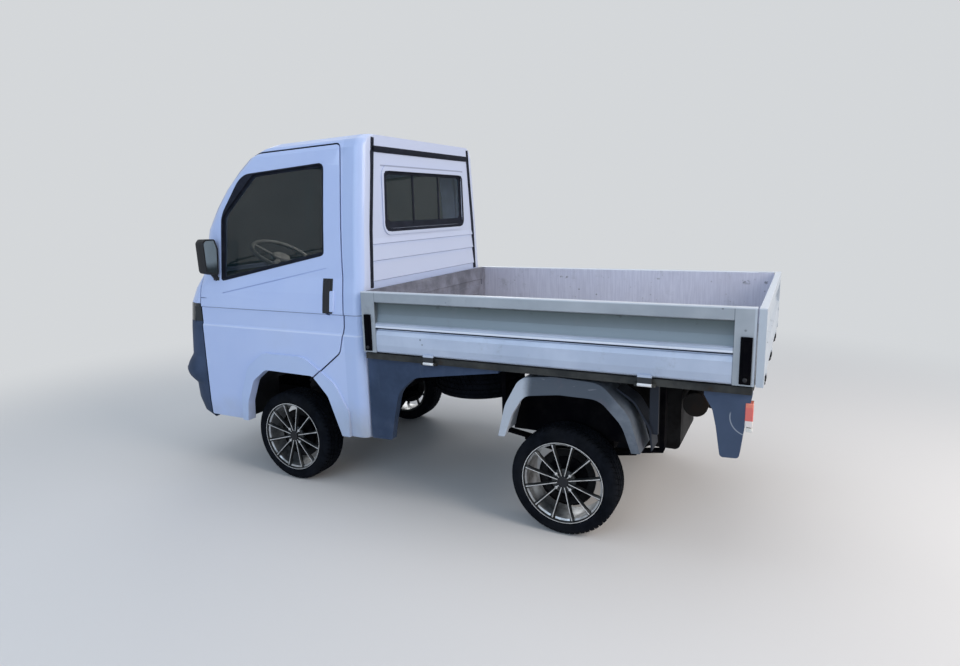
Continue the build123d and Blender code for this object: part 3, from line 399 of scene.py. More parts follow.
def redLens():
    finish = Finish("redLens", Coat_Weight=1.0, Coat_Roughness=0.05)
    height = finish.axis("Z")
    prism = finish.node("ShaderNodeTexChecker", {}, {"Vector": finish.place, "Scale": 260}, "Fac")
    amber = finish.rise(height, 0.757, 0.759)
    clear = finish.fall(height, 0.699, 0.701)
    colour = finish.mix(amber, (0.66, 0.075, 0.07), (0.72, 0.15, 0.09))
    colour = finish.mix(clear, colour, (0.72, 0.72, 0.70))
    finish.put(Base_Color=finish.mix(prism * 0.25, colour, (0.95, 0.45, 0.32)))
    finish.put(Roughness=0.14 + finish.noise(30, 3) * 0.12)
    finish.bump(prism, 0.0004, 0.4)
    return finish.material


def mirrorGlass():
    finish = Finish("mirrorGlass", Coat_Weight=1.0, Coat_Roughness=0.02)
    film = finish.noise(12, 4)
    # painted reflection of the sky: the mirror pale above and dark below
    sky = finish.rise(finish.axis("Z") + film * 0.03, 1.300, 1.345)
    colour = finish.mix(sky, (0.050, 0.066, 0.075), (0.300, 0.385, 0.450))
    finish.put(Base_Color=colour, Metallic=0.35 + film * 0.1, Roughness=0.12 + film * 0.1)
    return finish.material


def tyreRubber():
    finish = Finish("tyreRubber", Specular_IOR_Level=0.04)
    scuff = finish.noise(14, 5, 0.65)
    dust = finish.rise(finish.noise(5, 4), 0.42, 0.75)
    colour = finish.shade(scuff, 0.35, 0.7, (0.0030, 0.0040, 0.0062), (0.0075, 0.0090, 0.0130))
    finish.put(Base_Color=finish.mix(dust * 0.25, colour, (0.022, 0.023, 0.025)))
    finish.put(Roughness=0.70 + scuff * 0.22)
    finish.bump(scuff + finish.noise(300, 2) * 0.4, 0.0006, 0.5)
    return finish.material


# Finishes of two tones. The noise turns the first tone into the second over "rise". Roughness and metallic hold
# a start and what the noise adds. The bump holds its distance and strength, and "fine" is its own noise.
twoTones = {
    "coilPaint": {
        "noise": (22, 4), "rise": (0.4, 0.7), "tones": ((0.006, 0.006, 0.008), (0.024, 0.022, 0.021)),
        "rough": (0.55, 0.3), "bump": (0.0004, 0.3), "specular": 0.2},
    "castMetal": {
        "noise": (9, 5, 0.6), "rise": (0.4, 0.7), "tones": ((0.016, 0.016, 0.017), (0.006, 0.0055, 0.0055)),
        "rough": (0.50, 0.3), "metal": (0.3, -0.2), "bump": (0.0008, 0.5), "fine": (140, 3), "specular": 0.08},
    "exhaustSteel": {
        "noise": (9, 5, 0.6), "rise": (0.4, 0.68), "tones": ((0.012, 0.011, 0.011), (0.020, 0.012, 0.008)),
        "rough": (0.55, 0.3), "metal": (0.3, -0.2), "bump": (0.0006, 0.4), "specular": 0.2},
    "dashPlastic": {
        "noise": (5, 4), "rise": (0.35, 0.7), "tones": ((0.045, 0.048, 0.054), (0.085, 0.088, 0.095)),
        "rough": (0.55, 0.2), "bump": (0.0003, 0.4), "fine": (700, 2), "specular": 0.35},
    "darkAlloy": {
        "noise": (20, 4), "rise": (0.45, 0.75), "tones": ((0.030, 0.034, 0.037), (0.052, 0.052, 0.050)),
        "rough": (0.30, 0.22), "metal": (0.75, -0.3), "bump": (0.0002, 0.3), "specular": 0.4},
    "barrelAlloy": {
        "noise": (11, 5, 0.6), "rise": (0.38, 0.70), "tones": ((0.46, 0.48, 0.50), (0.14, 0.14, 0.14)),
        "rough": (0.20, 0.35), "metal": (0.9, -0.3), "bump": (0.0003, 0.3)},
    "turnedAlloy": {
        "noise": (26, 4), "rise": (0.4, 0.8), "tones": ((0.66, 0.68, 0.70), (0.34, 0.34, 0.33)),
        "rough": (0.18, 0.22), "metal": (0.95, -0.2), "bump": (0.0001, 0.3), "fine": (400, 2)},
    "paleGrip": {
        "noise": (30, 4), "rise": (0.4, 0.75), "tones": ((0.72, 0.71, 0.66), (0.50, 0.49, 0.45)),
        "rough": (0.45, 0.25), "bump": (0.0003, 0.4), "fine": (500, 2), "specular": 0.4},
    "sealRubber": {
        "noise": (16, 4), "rise": (0.4, 0.7), "tones": ((0.006, 0.0080, 0.016), (0.015, 0.018, 0.030)),
        "rough": (0.60, 0.25), "bump": (0.0003, 0.3), "specular": 0.15},
}


def toned(name):
    values = twoTones[name]
    finish = Finish(name, Specular_IOR_Level=values.get("specular", 0.5))
    grain = finish.noise(*values["noise"])
    finish.put(Base_Color=finish.shade(grain, *values["rise"], *values["tones"]))
    for key, socket in (("rough", "Roughness"), ("metal", "Metallic")):
        if key in values:
            start, added = values[key]
            finish.put(**{socket: start + grain * added})
    finish.bump(finish.noise(*values["fine"]) if "fine" in values else grain, *values["bump"])
    return finish.material


finishes = {
    "white_paint": whitePaint(), "slate_plastic": slatePlastic(), "weathered_grey": weatheredGrey(),
    "board_aluminium": boardAluminium(), "floor_plate": floorPlate(), "headboard_paint": headboardPaint(),
    "frame_paint": framePaint(), "chassis_paint": chassisPaint(), "coil_paint": toned("coilPaint"),
    "cast_metal": toned("castMetal"), "exhaust_steel": toned("exhaustSteel"), "black_plastic": blackPlastic(),
    "dash_plastic": toned("dashPlastic"), "seat_fabric": seatFabric(), "clear_glass": clearGlass(),
    "lamp_lens": lampLens(), "red_lens": redLens(), "mirror_glass": mirrorGlass(),
    "tyre_rubber": tyreRubber(), "dark_alloy": toned("darkAlloy"),
}
turned, barrelMetal, grip, rubber = (toned(name) for name in ("turnedAlloy", "barrelAlloy", "paleGrip", "sealRubber"))
slotOf = {part["node"]: part["material_slot"] for part in frame["record"]["subparts"]}
for name, node in nodes.items():
    node.data.materials.clear()
    node.data.materials.append(finishes[slotOf[name]])
print("finishes on all nodes")

# Softened edges on the CAD pieces
softEdges = {
    "turn": math.radians(32), "weld": 0.00001,
    "widths": {"white_paint": 0.003, "slate_plastic": 0.003, "weathered_grey": 0.003, "board_aluminium": 0.0012,
               "black_plastic": 0.002, "dash_plastic": 0.004, "headboard_paint": 0.002, "frame_paint": 0.002,
               "lamp_lens": 0.003, "red_lens": 0.003, "chassis_paint": 0.0015, "cast_metal": 0.003},
}


def rounded(piece, width, segments=1, **settings):
    # a bevel along the piece's edges
    bevel = piece.modifiers.new("round", "BEVEL")
    bevel.width = width
    bevel.segments = segments
    for name, value in settings.items():
        setattr(bevel, name, value)


for name, node in nodes.items():
    node.modifiers.new("weld", "WELD").merge_threshold = softEdges["weld"]
    if slotOf[name] in softEdges["widths"]:
        rounded(node, softEdges["widths"][slotOf[name]], 2, limit_method="ANGLE", angle_limit=softEdges["turn"],
                harden_normals=True)


# Mesh helpers

def named(piece, place):
    # tyre and front_left make tyreFrontLeft
    return piece + place.title().replace("_", "")


def madePiece(name, vertices, faces, slot, body="body", materials=None, marks=None, smooth=32):
    # a mesh object in the frame's place, smooth where faces turn by less than this many degrees
    mesh = bpy.data.meshes.new(name)
    mesh.from_pydata([tuple(v) for v in vertices], [], faces)
    for material in materials or [finishes[slot]]:
        mesh.materials.append(material)
    if marks:
        mesh.polygons.foreach_set("material_index", marks)
    mesh.validate()
    tidy = bmesh.new()
    tidy.from_mesh(mesh)
    bmesh.ops.recalc_face_normals(tidy, faces=tidy.faces)
    tidy.to_mesh(mesh)
    tidy.free()
    mesh.shade_smooth()
    mesh.set_sharp_from_angle(angle=math.radians(smooth))
    piece = bpy.data.objects.new(name, mesh)
    scene.collection.objects.link(piece)
    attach(piece, body)
    return piece


def rubberPiece(name, vertices, faces, body="body", smooth=32):
    return madePiece(name, vertices, faces, "black_plastic", body, [rubber], smooth=smooth)


def boxMesh(low, high):
    # corners and faces of a box
    points = [Vector((x, y, z)) for x in (low[0], high[0]) for y in (low[1], high[1]) for z in (low[2], high[2])]
    return points, [(0, 1, 3, 2), (4, 6, 7, 5), (0, 4, 5, 1), (2, 3, 7, 6), (0, 2, 6, 4), (1, 5, 7, 3)]


def ringFaces(rings, count, closedRings=False, caps=False):
    # quads between neighbouring rings of count points each
    faces = []
    for ring in range(rings if closedRings else rings - 1):
        here, after = ring * count, (ring + 1) % rings * count
        for point in range(count):
            step = (point + 1) % count
            faces.append((here + point, here + step, after + step, after + point))
    if caps:
        faces += [tuple(reversed(range(count))), tuple(range((rings - 1) * count, rings * count))]
    return faces


def spun(profile, count):
    # points of a closed profile of (axial, radius), turned about the X axis
    points = []
    for number in range(count):
        turn = 2 * math.pi * number / count
        points += [Vector((axial, radius * math.cos(turn), radius * math.sin(turn))) for axial, radius in profile]
    return points, ringFaces(count, len(profile), closedRings=True)


def gathered(parts):
    # several meshes with their finish marks, as one
    points, faces, marks = [], [], []
    for morePoints, moreFaces, moreMarks in parts:
        start = len(points)
        points += morePoints
        faces += [tuple(start + index for index in face) for face in moreFaces]
        marks += moreMarks
    return points, faces, marks


def roundedLoop(corners, steps=7):
    # corners hold: first place, second place, radius; a closed outline with round corners
    loop = []
    for number, (a, b, radius) in enumerate(corners):
        here = Vector((a, b))
        toLast = (Vector(corners[number - 1][:2]) - here).normalized()
        toNext = (Vector(corners[(number + 1) % len(corners)][:2]) - here).normalized()
        if radius <= 0:
            loop.append(here)
            continue
        half = toLast.angle(toNext) / 2
        centre = here + (toLast + toNext).normalized() * radius / math.sin(half)
        first = here + toLast * radius / math.tan(half) - centre
        second = here + toNext * radius / math.tan(half) - centre
        sweep = first.angle_signed(second)
        for step in range(steps + 1):
            loop.append(centre + Matrix.Rotation(-sweep * step / steps, 2) @ first)
    return loop


def movedLoop(loop, amount):
    # each point moved inward by this much
    area = sum(loop[n - 1].cross(loop[n]) for n in range(len(loop)))
    inward = 1 if area > 0 else -1
    moved = []
    for number, here in enumerate(loop):
        before = (here - loop[number - 1]).normalized()
        after = (loop[(number + 1) % len(loop)] - here).normalized()
        along = (before + after).normalized()
        moved.append(here + Vector((-along.y, along.x)) * inward * amount)
    return moved


def treeOf(*names):
    # the CAD nodes' surfaces, for finding places on them
    points, polygons = [], []
    for name in names:
        start = len(points)
        points += [v.co.copy() for v in nodes[name].data.vertices]
        polygons += [[start + index for index in p.vertices] for p in nodes[name].data.polygons]
    return BVHTree.FromPolygons(points, polygons)


outside = {"side": 1.2, "front": behind(-1.4), "rear": behind(1.2)}  # where the rays onto surfaces start


def onto(tree, start, direction):
    return tree.ray_cast(Vector(start), Vector(direction))[0]


def fromSide(tree, side, y, z):
    return onto(tree, (side * outside["side"], y, z), (-side, 0, 0))


def fromFront(tree, x, z):
    return onto(tree, (x, outside["front"], z), (0, 1, 0))


def tube(name, points, radius, body="body", corners=8, materials=None):
    # a bead of round section along a line of points
    vertices = []
    last = len(points) - 1
    for number, here in enumerate(points):
        along = (points[min(number + 1, last)] - points[max(number - 1, 0)]).normalized()
        across = along.cross(Vector((0, 0, 1)))
        if across.length < 0.05:
            across = along.cross(Vector((1, 0, 0)))
        across.normalize()
        lift = across.cross(along).normalized()
        for step in range(corners):
            turn = 2 * math.pi * (step + 0.5) / corners
            vertices.append(here + (across * math.cos(turn) + lift * math.sin(turn)) * radius)
    faces = ringFaces(len(points), corners, caps=True)
    return madePiece(name, vertices, faces, "black_plastic", body, materials, smooth=50)


# Tyres with modelled tread

tyreShape = {
    "pitches": 60, "groove": 0.0065, "sweep": 1.9, "tread": 0.0605, "radius": 0.2729, "crown": 0.0016,
    "fractions": (0.0, 0.03, 0.17, 0.20, 0.47, 0.74), "cut": (0.02, 0.18), "rib": 0.013,
    "across": (0.0605, 0.0475, 0.0465, 0.0405, 0.0395, 0.0215, 0.0205, 0.0145, 0.0135, 0.0),
    "channels": ((0.0404, 0.0466), (0.0144, 0.0206)), "shoulder": 0.25,
    "wall": ((0.0640, 0.1936), (0.0705, 0.2035), (0.0738, 0.2088), (0.0790, 0.2104), (0.0814, 0.2150),
             (0.0824, 0.2230), (0.0824, 0.2320), (0.0812, 0.2335), (0.0818, 0.2350), (0.0806, 0.2440),
             (0.0780, 0.2530), (0.0738, 0.2610), (0.0680, 0.2672)),
}


def tyreMesh():
    shape = tyreShape
    half = list(shape["wall"]) + [(x, None) for x in shape["across"]]
    profile = half + [(-x, r) for x, r in reversed(half[:-1])]
    points = []
    for pitch in range(shape["pitches"]):
        for fraction in shape["fractions"]:
            cut = shape["cut"][0] < fraction < shape["cut"][1]
            for x, radius in profile:
                turn = 2 * math.pi * (pitch + fraction) / shape["pitches"]
                if radius is None:
                    radius = shape["radius"] - shape["crown"] * (x / shape["tread"]) ** 2
                    channel = any(low < abs(x) < high for low, high in shape["channels"])
                    if channel or (cut and abs(x) > shape["rib"]):
                        radius -= shape["groove"]
                    turn += shape["sweep"] * abs(x)
                elif radius > shape["shoulder"]:
                    turn += shape["sweep"] * abs(x)
                    if cut:
                        radius -= shape["groove"] * 0.6 * (radius - shape["shoulder"]) / 0.02
                points.append(Vector((x, radius * math.cos(turn), radius * math.sin(turn))))
    rings = shape["pitches"] * len(shape["fractions"])
    return points, ringFaces(rings, len(profile), closedRings=True)


rimShape = {
    "spokes": 12, "count": 96, "barrelMarks": (1, 0, 0, 3, 3, 3, 3, 0, 0, 0, 0, 0, 0),
    "barrel": ((0.0812, 0.2070), (0.0812, 0.2035), (0.0790, 0.2012), (0.0690, 0.1985), (0.0640, 0.1900),
               (0.0300, 0.1868), (-0.0600, 0.1872), (-0.0775, 0.1900), (-0.0778, 0.2045), (-0.0700, 0.2040),
               (-0.0652, 0.1925), (0.0652, 0.1925), (0.0718, 0.2070)),
    # radius, crest height, half width of the ridge, half width of the root, depth
    "ribs": ((0.026, 0.0615, 0.0022, 0.0060, 0.026), (0.060, 0.0640, 0.0022, 0.0065, 0.025),
             (0.110, 0.0700, 0.0020, 0.0062, 0.021), (0.160, 0.0745, 0.0020, 0.0070, 0.019),
             (0.184, 0.0760, 0.0026, 0.0095, 0.018), (0.1965, 0.0765, 0.0034, 0.0130, 0.016)),
    "hub": ((0.0365, 0.0), (0.0365, 0.060), (0.0400, 0.0640), (0.0520, 0.0620), (0.0545, 0.0580), (0.0545, 0.034),
            (0.0600, 0.032), (0.0600, 0.0)),
    "cap": ((0.0600, 0.0), (0.0600, 0.0285), (0.0665, 0.0285), (0.0685, 0.0265), (0.0678, 0.0200), (0.0690, 0.0)),
    # along the axle, share of the nut's radius
    "nut": ((0.050, 1.3), (0.0535, 1.3), (0.0540, 1.0), (0.0620, 1.0), (0.0640, 0.72)),
    "nuts": 4, "nutCircle": 0.0500, "nutRadius": 0.0085,
}


def spokeMesh(turn):
    # one ridged spoke, its crest faces marked as turned metal
    points = []
    for radius, crest, ridge, root, depth in rimShape["ribs"]:
        flank = [(root, crest - depth), (root, crest - depth * 0.45), (ridge, crest)]
        for across, axial in [(-a, b) for a, b in flank] + flank[::-1]:
            points.append(Matrix.Rotation(turn, 3, "X") @ Vector((axial, radius, across)))
    rings = len(rimShape["ribs"])
    return points, ringFaces(rings, 6, caps=True), [0, 0, 1, 0, 0, 0] * (rings - 1) + [0, 0]


def nutMesh(turn):
    centre = Vector((0, math.cos(turn), math.sin(turn))) * rimShape["nutCircle"]
    points = []
    for axial, share in rimShape["nut"]:
        reach = rimShape["nutRadius"] * share
        for corner in range(6):
            angle = math.pi * corner / 3
            points.append(centre + Vector((axial, reach * math.cos(angle), reach * math.sin(angle))))
    faces = ringFaces(len(rimShape["nut"]), 6, caps=True)
    return points, faces, [1] * len(faces)


def rimMesh():
    shape = rimShape
    parts = [(*spun(shape["barrel"], shape["count"]), list(shape["barrelMarks"]) * shape["count"])]
    parts += [spokeMesh(2 * math.pi * (number + 0.5) / shape["spokes"]) for number in range(shape["spokes"])]
    for key, mark in (("hub", 0), ("cap", 2)):
        points, faces = spun(shape[key], 48)
        parts.append((points, faces, [mark] * len(faces)))
    parts += [nutMesh(2 * math.pi * (number + 0.5) / shape["nuts"]) for number in range(shape["nuts"])]
    return gathered(parts)


# each wheel's own frame, with X along the axle and out of the truck
stands = {f"{place}_{sideName}": Matrix.Translation(joints[f"wheel_{place}_{sideName}_spin"]["pos_m"])
          @ Matrix.Rotation(0 if side > 0 else math.pi, 4, "Z")
          for place in ("front", "rear") for sideName, side in sides.items()}
tyrePoints, tyreFaces = tyreMesh()
rimPoints, rimFaces, rimMarks = rimMesh()
for place, stand in stands.items():
    tyre = madePiece(named("tyre", place), [stand @ p for p in tyrePoints], tyreFaces, "tyre_rubber",
                     f"wheel_{place}", smooth=28)
    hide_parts(f"tyre_{place}")
    rim = madePiece(named("rim", place), [stand @ p for p in rimPoints], rimFaces, "dark_alloy", f"wheel_{place}",
                    [finishes["dark_alloy"], turned, finishes["black_plastic"], barrelMetal], rimMarks, smooth=30)
    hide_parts(f"rim_{place}")
print("wheels made")

spareDisc = ((0.0790, 0.2055), (0.0790, 0.2025), (0.0640, 0.1880), (0.0300, 0.1800), (0.0180, 0.1500),
             (0.0240, 0.1100), (0.0120, 0.0800), (0.0120, 0.0), (0.0070, 0.0), (0.0070, 0.0800), (0.0180, 0.1120),
             (0.0110, 0.1520), (0.0240, 0.1840), (-0.0600, 0.1850), (-0.0770, 0.2040), (-0.0650, 0.1930),
             (0.0650, 0.1930))
spareLow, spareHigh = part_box("spare_wheel")
stand = Matrix.Translation((spareLow + spareHigh) / 2) @ Matrix.Rotation(math.pi / 2, 4, "Y")
spareTyre = madePiece("spareTyre", [stand @ p for p in tyrePoints], tyreFaces, "tyre_rubber", smooth=28)
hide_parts("spare_wheel")
points, faces = spun(spareDisc, 64)
madePiece("spareDisc", [stand @ p for p in points], faces, "chassis_paint")


# Window rubbers, laid on the glass

def dense(loop, step=0.03):
    # the same outline with more points on its straight runs
    points = []
    for number, here in enumerate(loop):
        after = loop[(number + 1) % len(loop)]
        parts = max(1, int((after - here).length / step))
        points += [here.lerp(after, part / parts) for part in range(parts)]
    return points


def outlineAt(loop, centre, count):
    # where evenly turned lines from the centre leave the outline
    spots = []
    for number in range(count):
        turn = 2 * math.pi * number / count
        away = centre + Vector((math.cos(turn), math.sin(turn))) * 5
        for index, here in enumerate(loop):
            hit = geometry.intersect_line_line_2d(centre, away, loop[index - 1], here)
            if hit:
                spots.append(hit)
                break
    return spots


doorWindow = {
    "centre": Vector((behind(-0.03), 1.55)), "count": 220, "proud": 0.0014, "wide": 0.018,
    "opening": [(-0.432, 1.210, 0.014), (-0.418, 1.590, 0.060), (-0.170, 1.826, 0.060), (0.345, 1.858, 0.026),
                (0.346, 1.370, 0.020)],
    # the rubber's own outline rounds the upper front corner more
    "outer": [(-0.432, 1.210, 0.016), (-0.417, 1.600, 0.120), (-0.262, 1.822, 0.140), (0.346, 1.859, 0.028),
              (0.347, 1.369, 0.022)],
}
opening, outer = (outlineAt([Vector((behind(p.x), p.y)) for p in roundedLoop(doorWindow[key])], doorWindow["centre"],
                            doorWindow["count"]) for key in ("opening", "outer"))
rows = [movedLoop(outer, -0.0030), movedLoop(outer, -0.0020)]
rows += [movedLoop(opening, amount) for amount in (-0.0040, 0.0035, doorWindow["wide"] - 0.003, doorWindow["wide"])]
for sideName, side in sides.items():
    tree = treeOf(f"door_glass_{sideName}", f"door_{sideName}")
    lift = Vector((side * doorWindow["proud"], 0, 0))
    vertices = []
    for spots in zip(*rows):
        hits = [fromSide(tree, side, spot.x, spot.y) for spot in spots]
        shoulder = Vector((hits[2].x, hits[3].y, hits[3].z))
        vertices += [hits[0], hits[1] + lift, hits[2] + lift, shoulder + lift * 1.4, hits[3] + lift,
                     hits[4] + lift, hits[5]]
        vertices += [hits[index] - lift for index in (5, 3, 2, 0)]
    rubberPiece(named("doorWindowRubber", sideName), vertices, ringFaces(len(vertices) // 11, 11, closedRings=True),
                f"door_{sideName}")

rearWindow = {
    "opening": [(-0.443, 1.500, 0.03), (0.443, 1.500, 0.03), (0.438, 1.812, 0.03), (-0.438, 1.812, 0.03)],
    "outer": [(-0.470, 1.481, 0.046), (0.470, 1.481, 0.046), (0.456, 1.816, 0.030), (-0.456, 1.816, 0.030)],
    "inner": [(-0.423, 1.538, 0.026), (0.423, 1.538, 0.026), (0.421, 1.797, 0.026), (-0.421, 1.797, 0.026)],
    "centre": Vector((0.0, 1.650)), "count": 160, "proud": 0.0022,
    "bars": (-0.150, 0.150), "barHalf": 0.008, "barLow": 1.516, "barHigh": 1.796,
}
tree = treeOf("rear_panel", "rear_window")
outer, opening, inner = (outlineAt(loop, rearWindow["centre"], rearWindow["count"])
                         for loop in (roundedLoop(rearWindow["outer"]), dense(roundedLoop(rearWindow["opening"])),
                                      roundedLoop(rearWindow["inner"])))
out = Vector((0, rearWindow["proud"], 0))
vertices = []
for outerSpot, edgeSpot, innerSpot in zip(outer, opening, inner):
    spots = [outerSpot, outerSpot.lerp(edgeSpot, 0.15), outerSpot.lerp(edgeSpot, 0.90),
             edgeSpot.lerp(innerSpot, 0.15), edgeSpot.lerp(innerSpot, 0.85), innerSpot]
    hits = [onto(tree, (spot.x, outside["rear"], spot.y), (0, -1, 0)) for spot in spots]
    vertices += [hit + out * lift for hit, lift in zip(hits, (-0.3, 1, 1, 1, 1, -0.3))] + [hits[5] - out, hits[0] - out]
rubberPiece("rearWindowRubber", vertices, ringFaces(len(vertices) // 8, 8, closedRings=True))
for number, middle in enumerate(rearWindow["bars"]):
    points, faces = boxMesh((middle - rearWindow["barHalf"], behind(0.5935), rearWindow["barLow"]),
                            (middle + rearWindow["barHalf"], behind(0.5975), rearWindow["barHigh"]))
    rounded(rubberPiece(f"rearWindowBar{number + 1}", points, faces), 0.0012)

screen = {
    "corners": [(-0.588, 1.262, 0.04), (0.588, 1.262, 0.04), (0.524, 1.902, 0.06), (-0.524, 1.902, 0.06)],
    # how far in from the glass's edge, and how far out of the glass
    "rows": ((0.0006, 0.0), (0.004, 0.0016), (0.014, 0.0016), (0.017, 0.0)), "depth": 0.001,
}
screenTree = treeOf("windscreen")
loop = dense(roundedLoop(screen["corners"]))
rows = [movedLoop(loop, amount) for amount, lift in screen["rows"]]
vertices = []
for spots in zip(*rows):
    hits = [fromFront(screenTree, spot.x, spot.y) for spot in spots]
    if all(hits):
        hits = [hit - Vector((0, lift, 0)) for hit, (amount, lift) in zip(hits, screen["rows"])]
        vertices += hits + [hit + Vector((0, screen["depth"], 0)) for hit in (hits[3], hits[0])]
rubberPiece("windscreenRubber", vertices, ringFaces(len(vertices) // 6, 6, closedRings=True))
print("window rubbers laid")

# Black strips on the cab's rear face, over the joint of the rear panel
strip = {"wide": 0.0135, "deep": 0.004, "half": 0.550, "top": 1.926,
         "path": [(-0.617, 1.186), (-0.598, 1.500), (-0.562, 1.800), (-0.541, 1.984)]}
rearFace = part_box("cab_shell")[1].y


def flatStrip(name, line, wide):
    # a strip lying on the rear face, its bends mitred
    points = [Vector((x, rearFace, z)) for x, z in line]
    out = Vector((0, strip["deep"], 0))
    vertices = []
    for number, here in enumerate(points):
        before = (here - points[number - 1]).normalized() if number else None
        after = (points[number + 1] - here).normalized() if number < len(points) - 1 else before
        before = before or after
        along = (before + after).normalized()
        across = Vector((-along.z, 0, along.x)) * (wide / max(0.3, along.dot(before)))
        for amount, height in ((-1, -1), (-1, 0.5), (-0.7, 1), (0.7, 1), (1, 0.5), (1, -1)):
            vertices.append(here + across * amount + out * height)
    rubberPiece(name, vertices, ringFaces(len(points), 6, caps=True))


for name, side in (("Left", -1), ("Right", 1)):
    flatStrip(f"rearSeal{name}", [(x * side, z) for x, z in strip["path"]], strip["wide"])
flatStrip("rearSealTop", [(x, strip["top"]) for x in (-strip["half"], strip["half"])], strip["wide"] * 1.2)

# Door seals, deep in the shut line
seal = {
    "radius": 0.0046, "inward": 0.0205, "aside": 0.006, "low": 0.69, "least": 0.30,
    "corners": [(0.250, 0.680, 0.0), (0.447, 0.835, 0.060), (0.483, 0.977, 0.060), (0.487, 1.045, 0.090),
                (0.470, 1.390, 0.0), (0.460, 1.957, 0.032), (-0.170, 1.938, 0.060), (-0.388, 1.762, 0.260),
                (-0.566, 1.500, 0.090), (-0.628, 1.262, 0.0)],
}
loop = roundedLoop(seal["corners"])
for sideName, side in sides.items():
    tree = treeOf(f"door_{sideName}")
    path = []
    for here, inside in zip(loop, movedLoop(loop, seal["aside"])):
        hit = fromSide(tree, side, behind(inside.x), inside.y)
        if hit and seal["least"] < abs(hit.x) and here.y > seal["low"]:
            path.append(Vector((hit.x - side * seal["inward"], behind(here.x), here.y)))
    tube(named("doorSeal", sideName), path, seal["radius"], materials=[rubber])
print("seals laid")

# Door handles: a black plate over the recess, a grip and a pale paddle
handle = {
    "beside": 0.336, "rows": 8, "sunk": 0.012,
    "Plate": {"near": 0.344, "far": 0.412, "low": 1.052, "high": 1.242, "proud": 0.0022, "round": 0.002},
    "Grip": {"near": 0.366, "far": 0.397, "low": 1.054, "high": 1.234, "proud": 0.0060, "round": 0.004},
    "Paddle": {"near": 0.396, "far": 0.427, "low": 1.062, "high": 1.176, "proud": 0.0090, "round": 0.005},
}


def skinPlate(name, part, side, slot, body):
    # a plate with rounded edges that follows the door's skin beside the recess
    tree = treeOf(body)
    vertices = []
    for row in range(handle["rows"] + 1):
        height = part["low"] + (part["high"] - part["low"]) * row / handle["rows"]
        skin = fromSide(tree, side, behind(handle["beside"]), height).x
        for distance, x in ((part["near"], -handle["sunk"]), (part["near"], part["proud"]),
                            (part["far"], part["proud"]), (part["far"], -handle["sunk"])):
            vertices.append(Vector((skin + side * x, behind(distance), height)))
    piece = madePiece(name, vertices, ringFaces(handle["rows"] + 1, 4, caps=True), slot, body)
    rounded(piece, part["round"], 4, limit_method="ANGLE")


for sideName, side in sides.items():
    for name, slot in (("Plate", "black_plastic"), ("Grip", "black_plastic"), ("Paddle", "white_paint")):
        skinPlate(named(f"handle{name}", sideName), handle[name], side, slot, f"door_{sideName}")


def softBox(name, side, low, high, slot, body="body", material=None, radius=0.002, segments=3):
    # a box with rounded edges on one side of the truck
    a, b = Vector((side * low[0], *low[1:])), Vector((side * high[0], *high[1:]))
    points, faces = boxMesh([min(pair) for pair in zip(a, b)], [max(pair) for pair in zip(a, b)])
    piece = madePiece(name, points, faces, slot, body, [material or finishes[slot]])
    rounded(piece, radius, segments, harden_normals=True)


# Latches of the side boards, black levers in the slots of the end posts
latch = {
    "starts": (0.636, 2.491), "length": 0.034, "low": 0.866, "high": 1.062, "gap": 0.0004,
    "reaches": ((-0.007, -0.001), (0.002, 0.012)), "lever": 0.011,
    "knob": ((-0.007, 0.0), (-0.007, 0.009), (0.004, 0.009), (0.006, 0.006), (0.006, 0.0)),
}
for sideName, side in sides.items():
    for number, start in enumerate(latch["starts"]):
        body = f"side_board_{sideName}"
        ending = f"{sideName.title()}{number + 1}"
        near, far = latch["reaches"][number]
        low = behind(start + latch["gap"]) + near
        high = behind(start + latch["length"] - latch["gap"]) + far
        softBox(f"latchPlate{ending}", side, (0.7165, low, latch["low"] + latch["gap"]),
                (0.7452, high, latch["high"] - latch["gap"]), "black_plastic", body, finishes["chassis_paint"], 0.001)
        softBox(f"latchLever{ending}", side, (0.7440, low + latch["lever"], latch["low"] + 0.034),
                (0.7480, high - latch["lever"], latch["high"] - 0.016), "black_plastic", body,
                finishes["chassis_paint"], 0.0015)
        knob = Vector((side * 0.7470, (low + high) / 2, latch["low"] + 0.020))
        points, faces = spun(latch["knob"], 24)
        madePiece(f"latchKnob{ending}", [knob + Vector((p.x * side, p.y, p.z)) for p in points], faces,
                  "black_plastic", body)
print("handles and latches made")

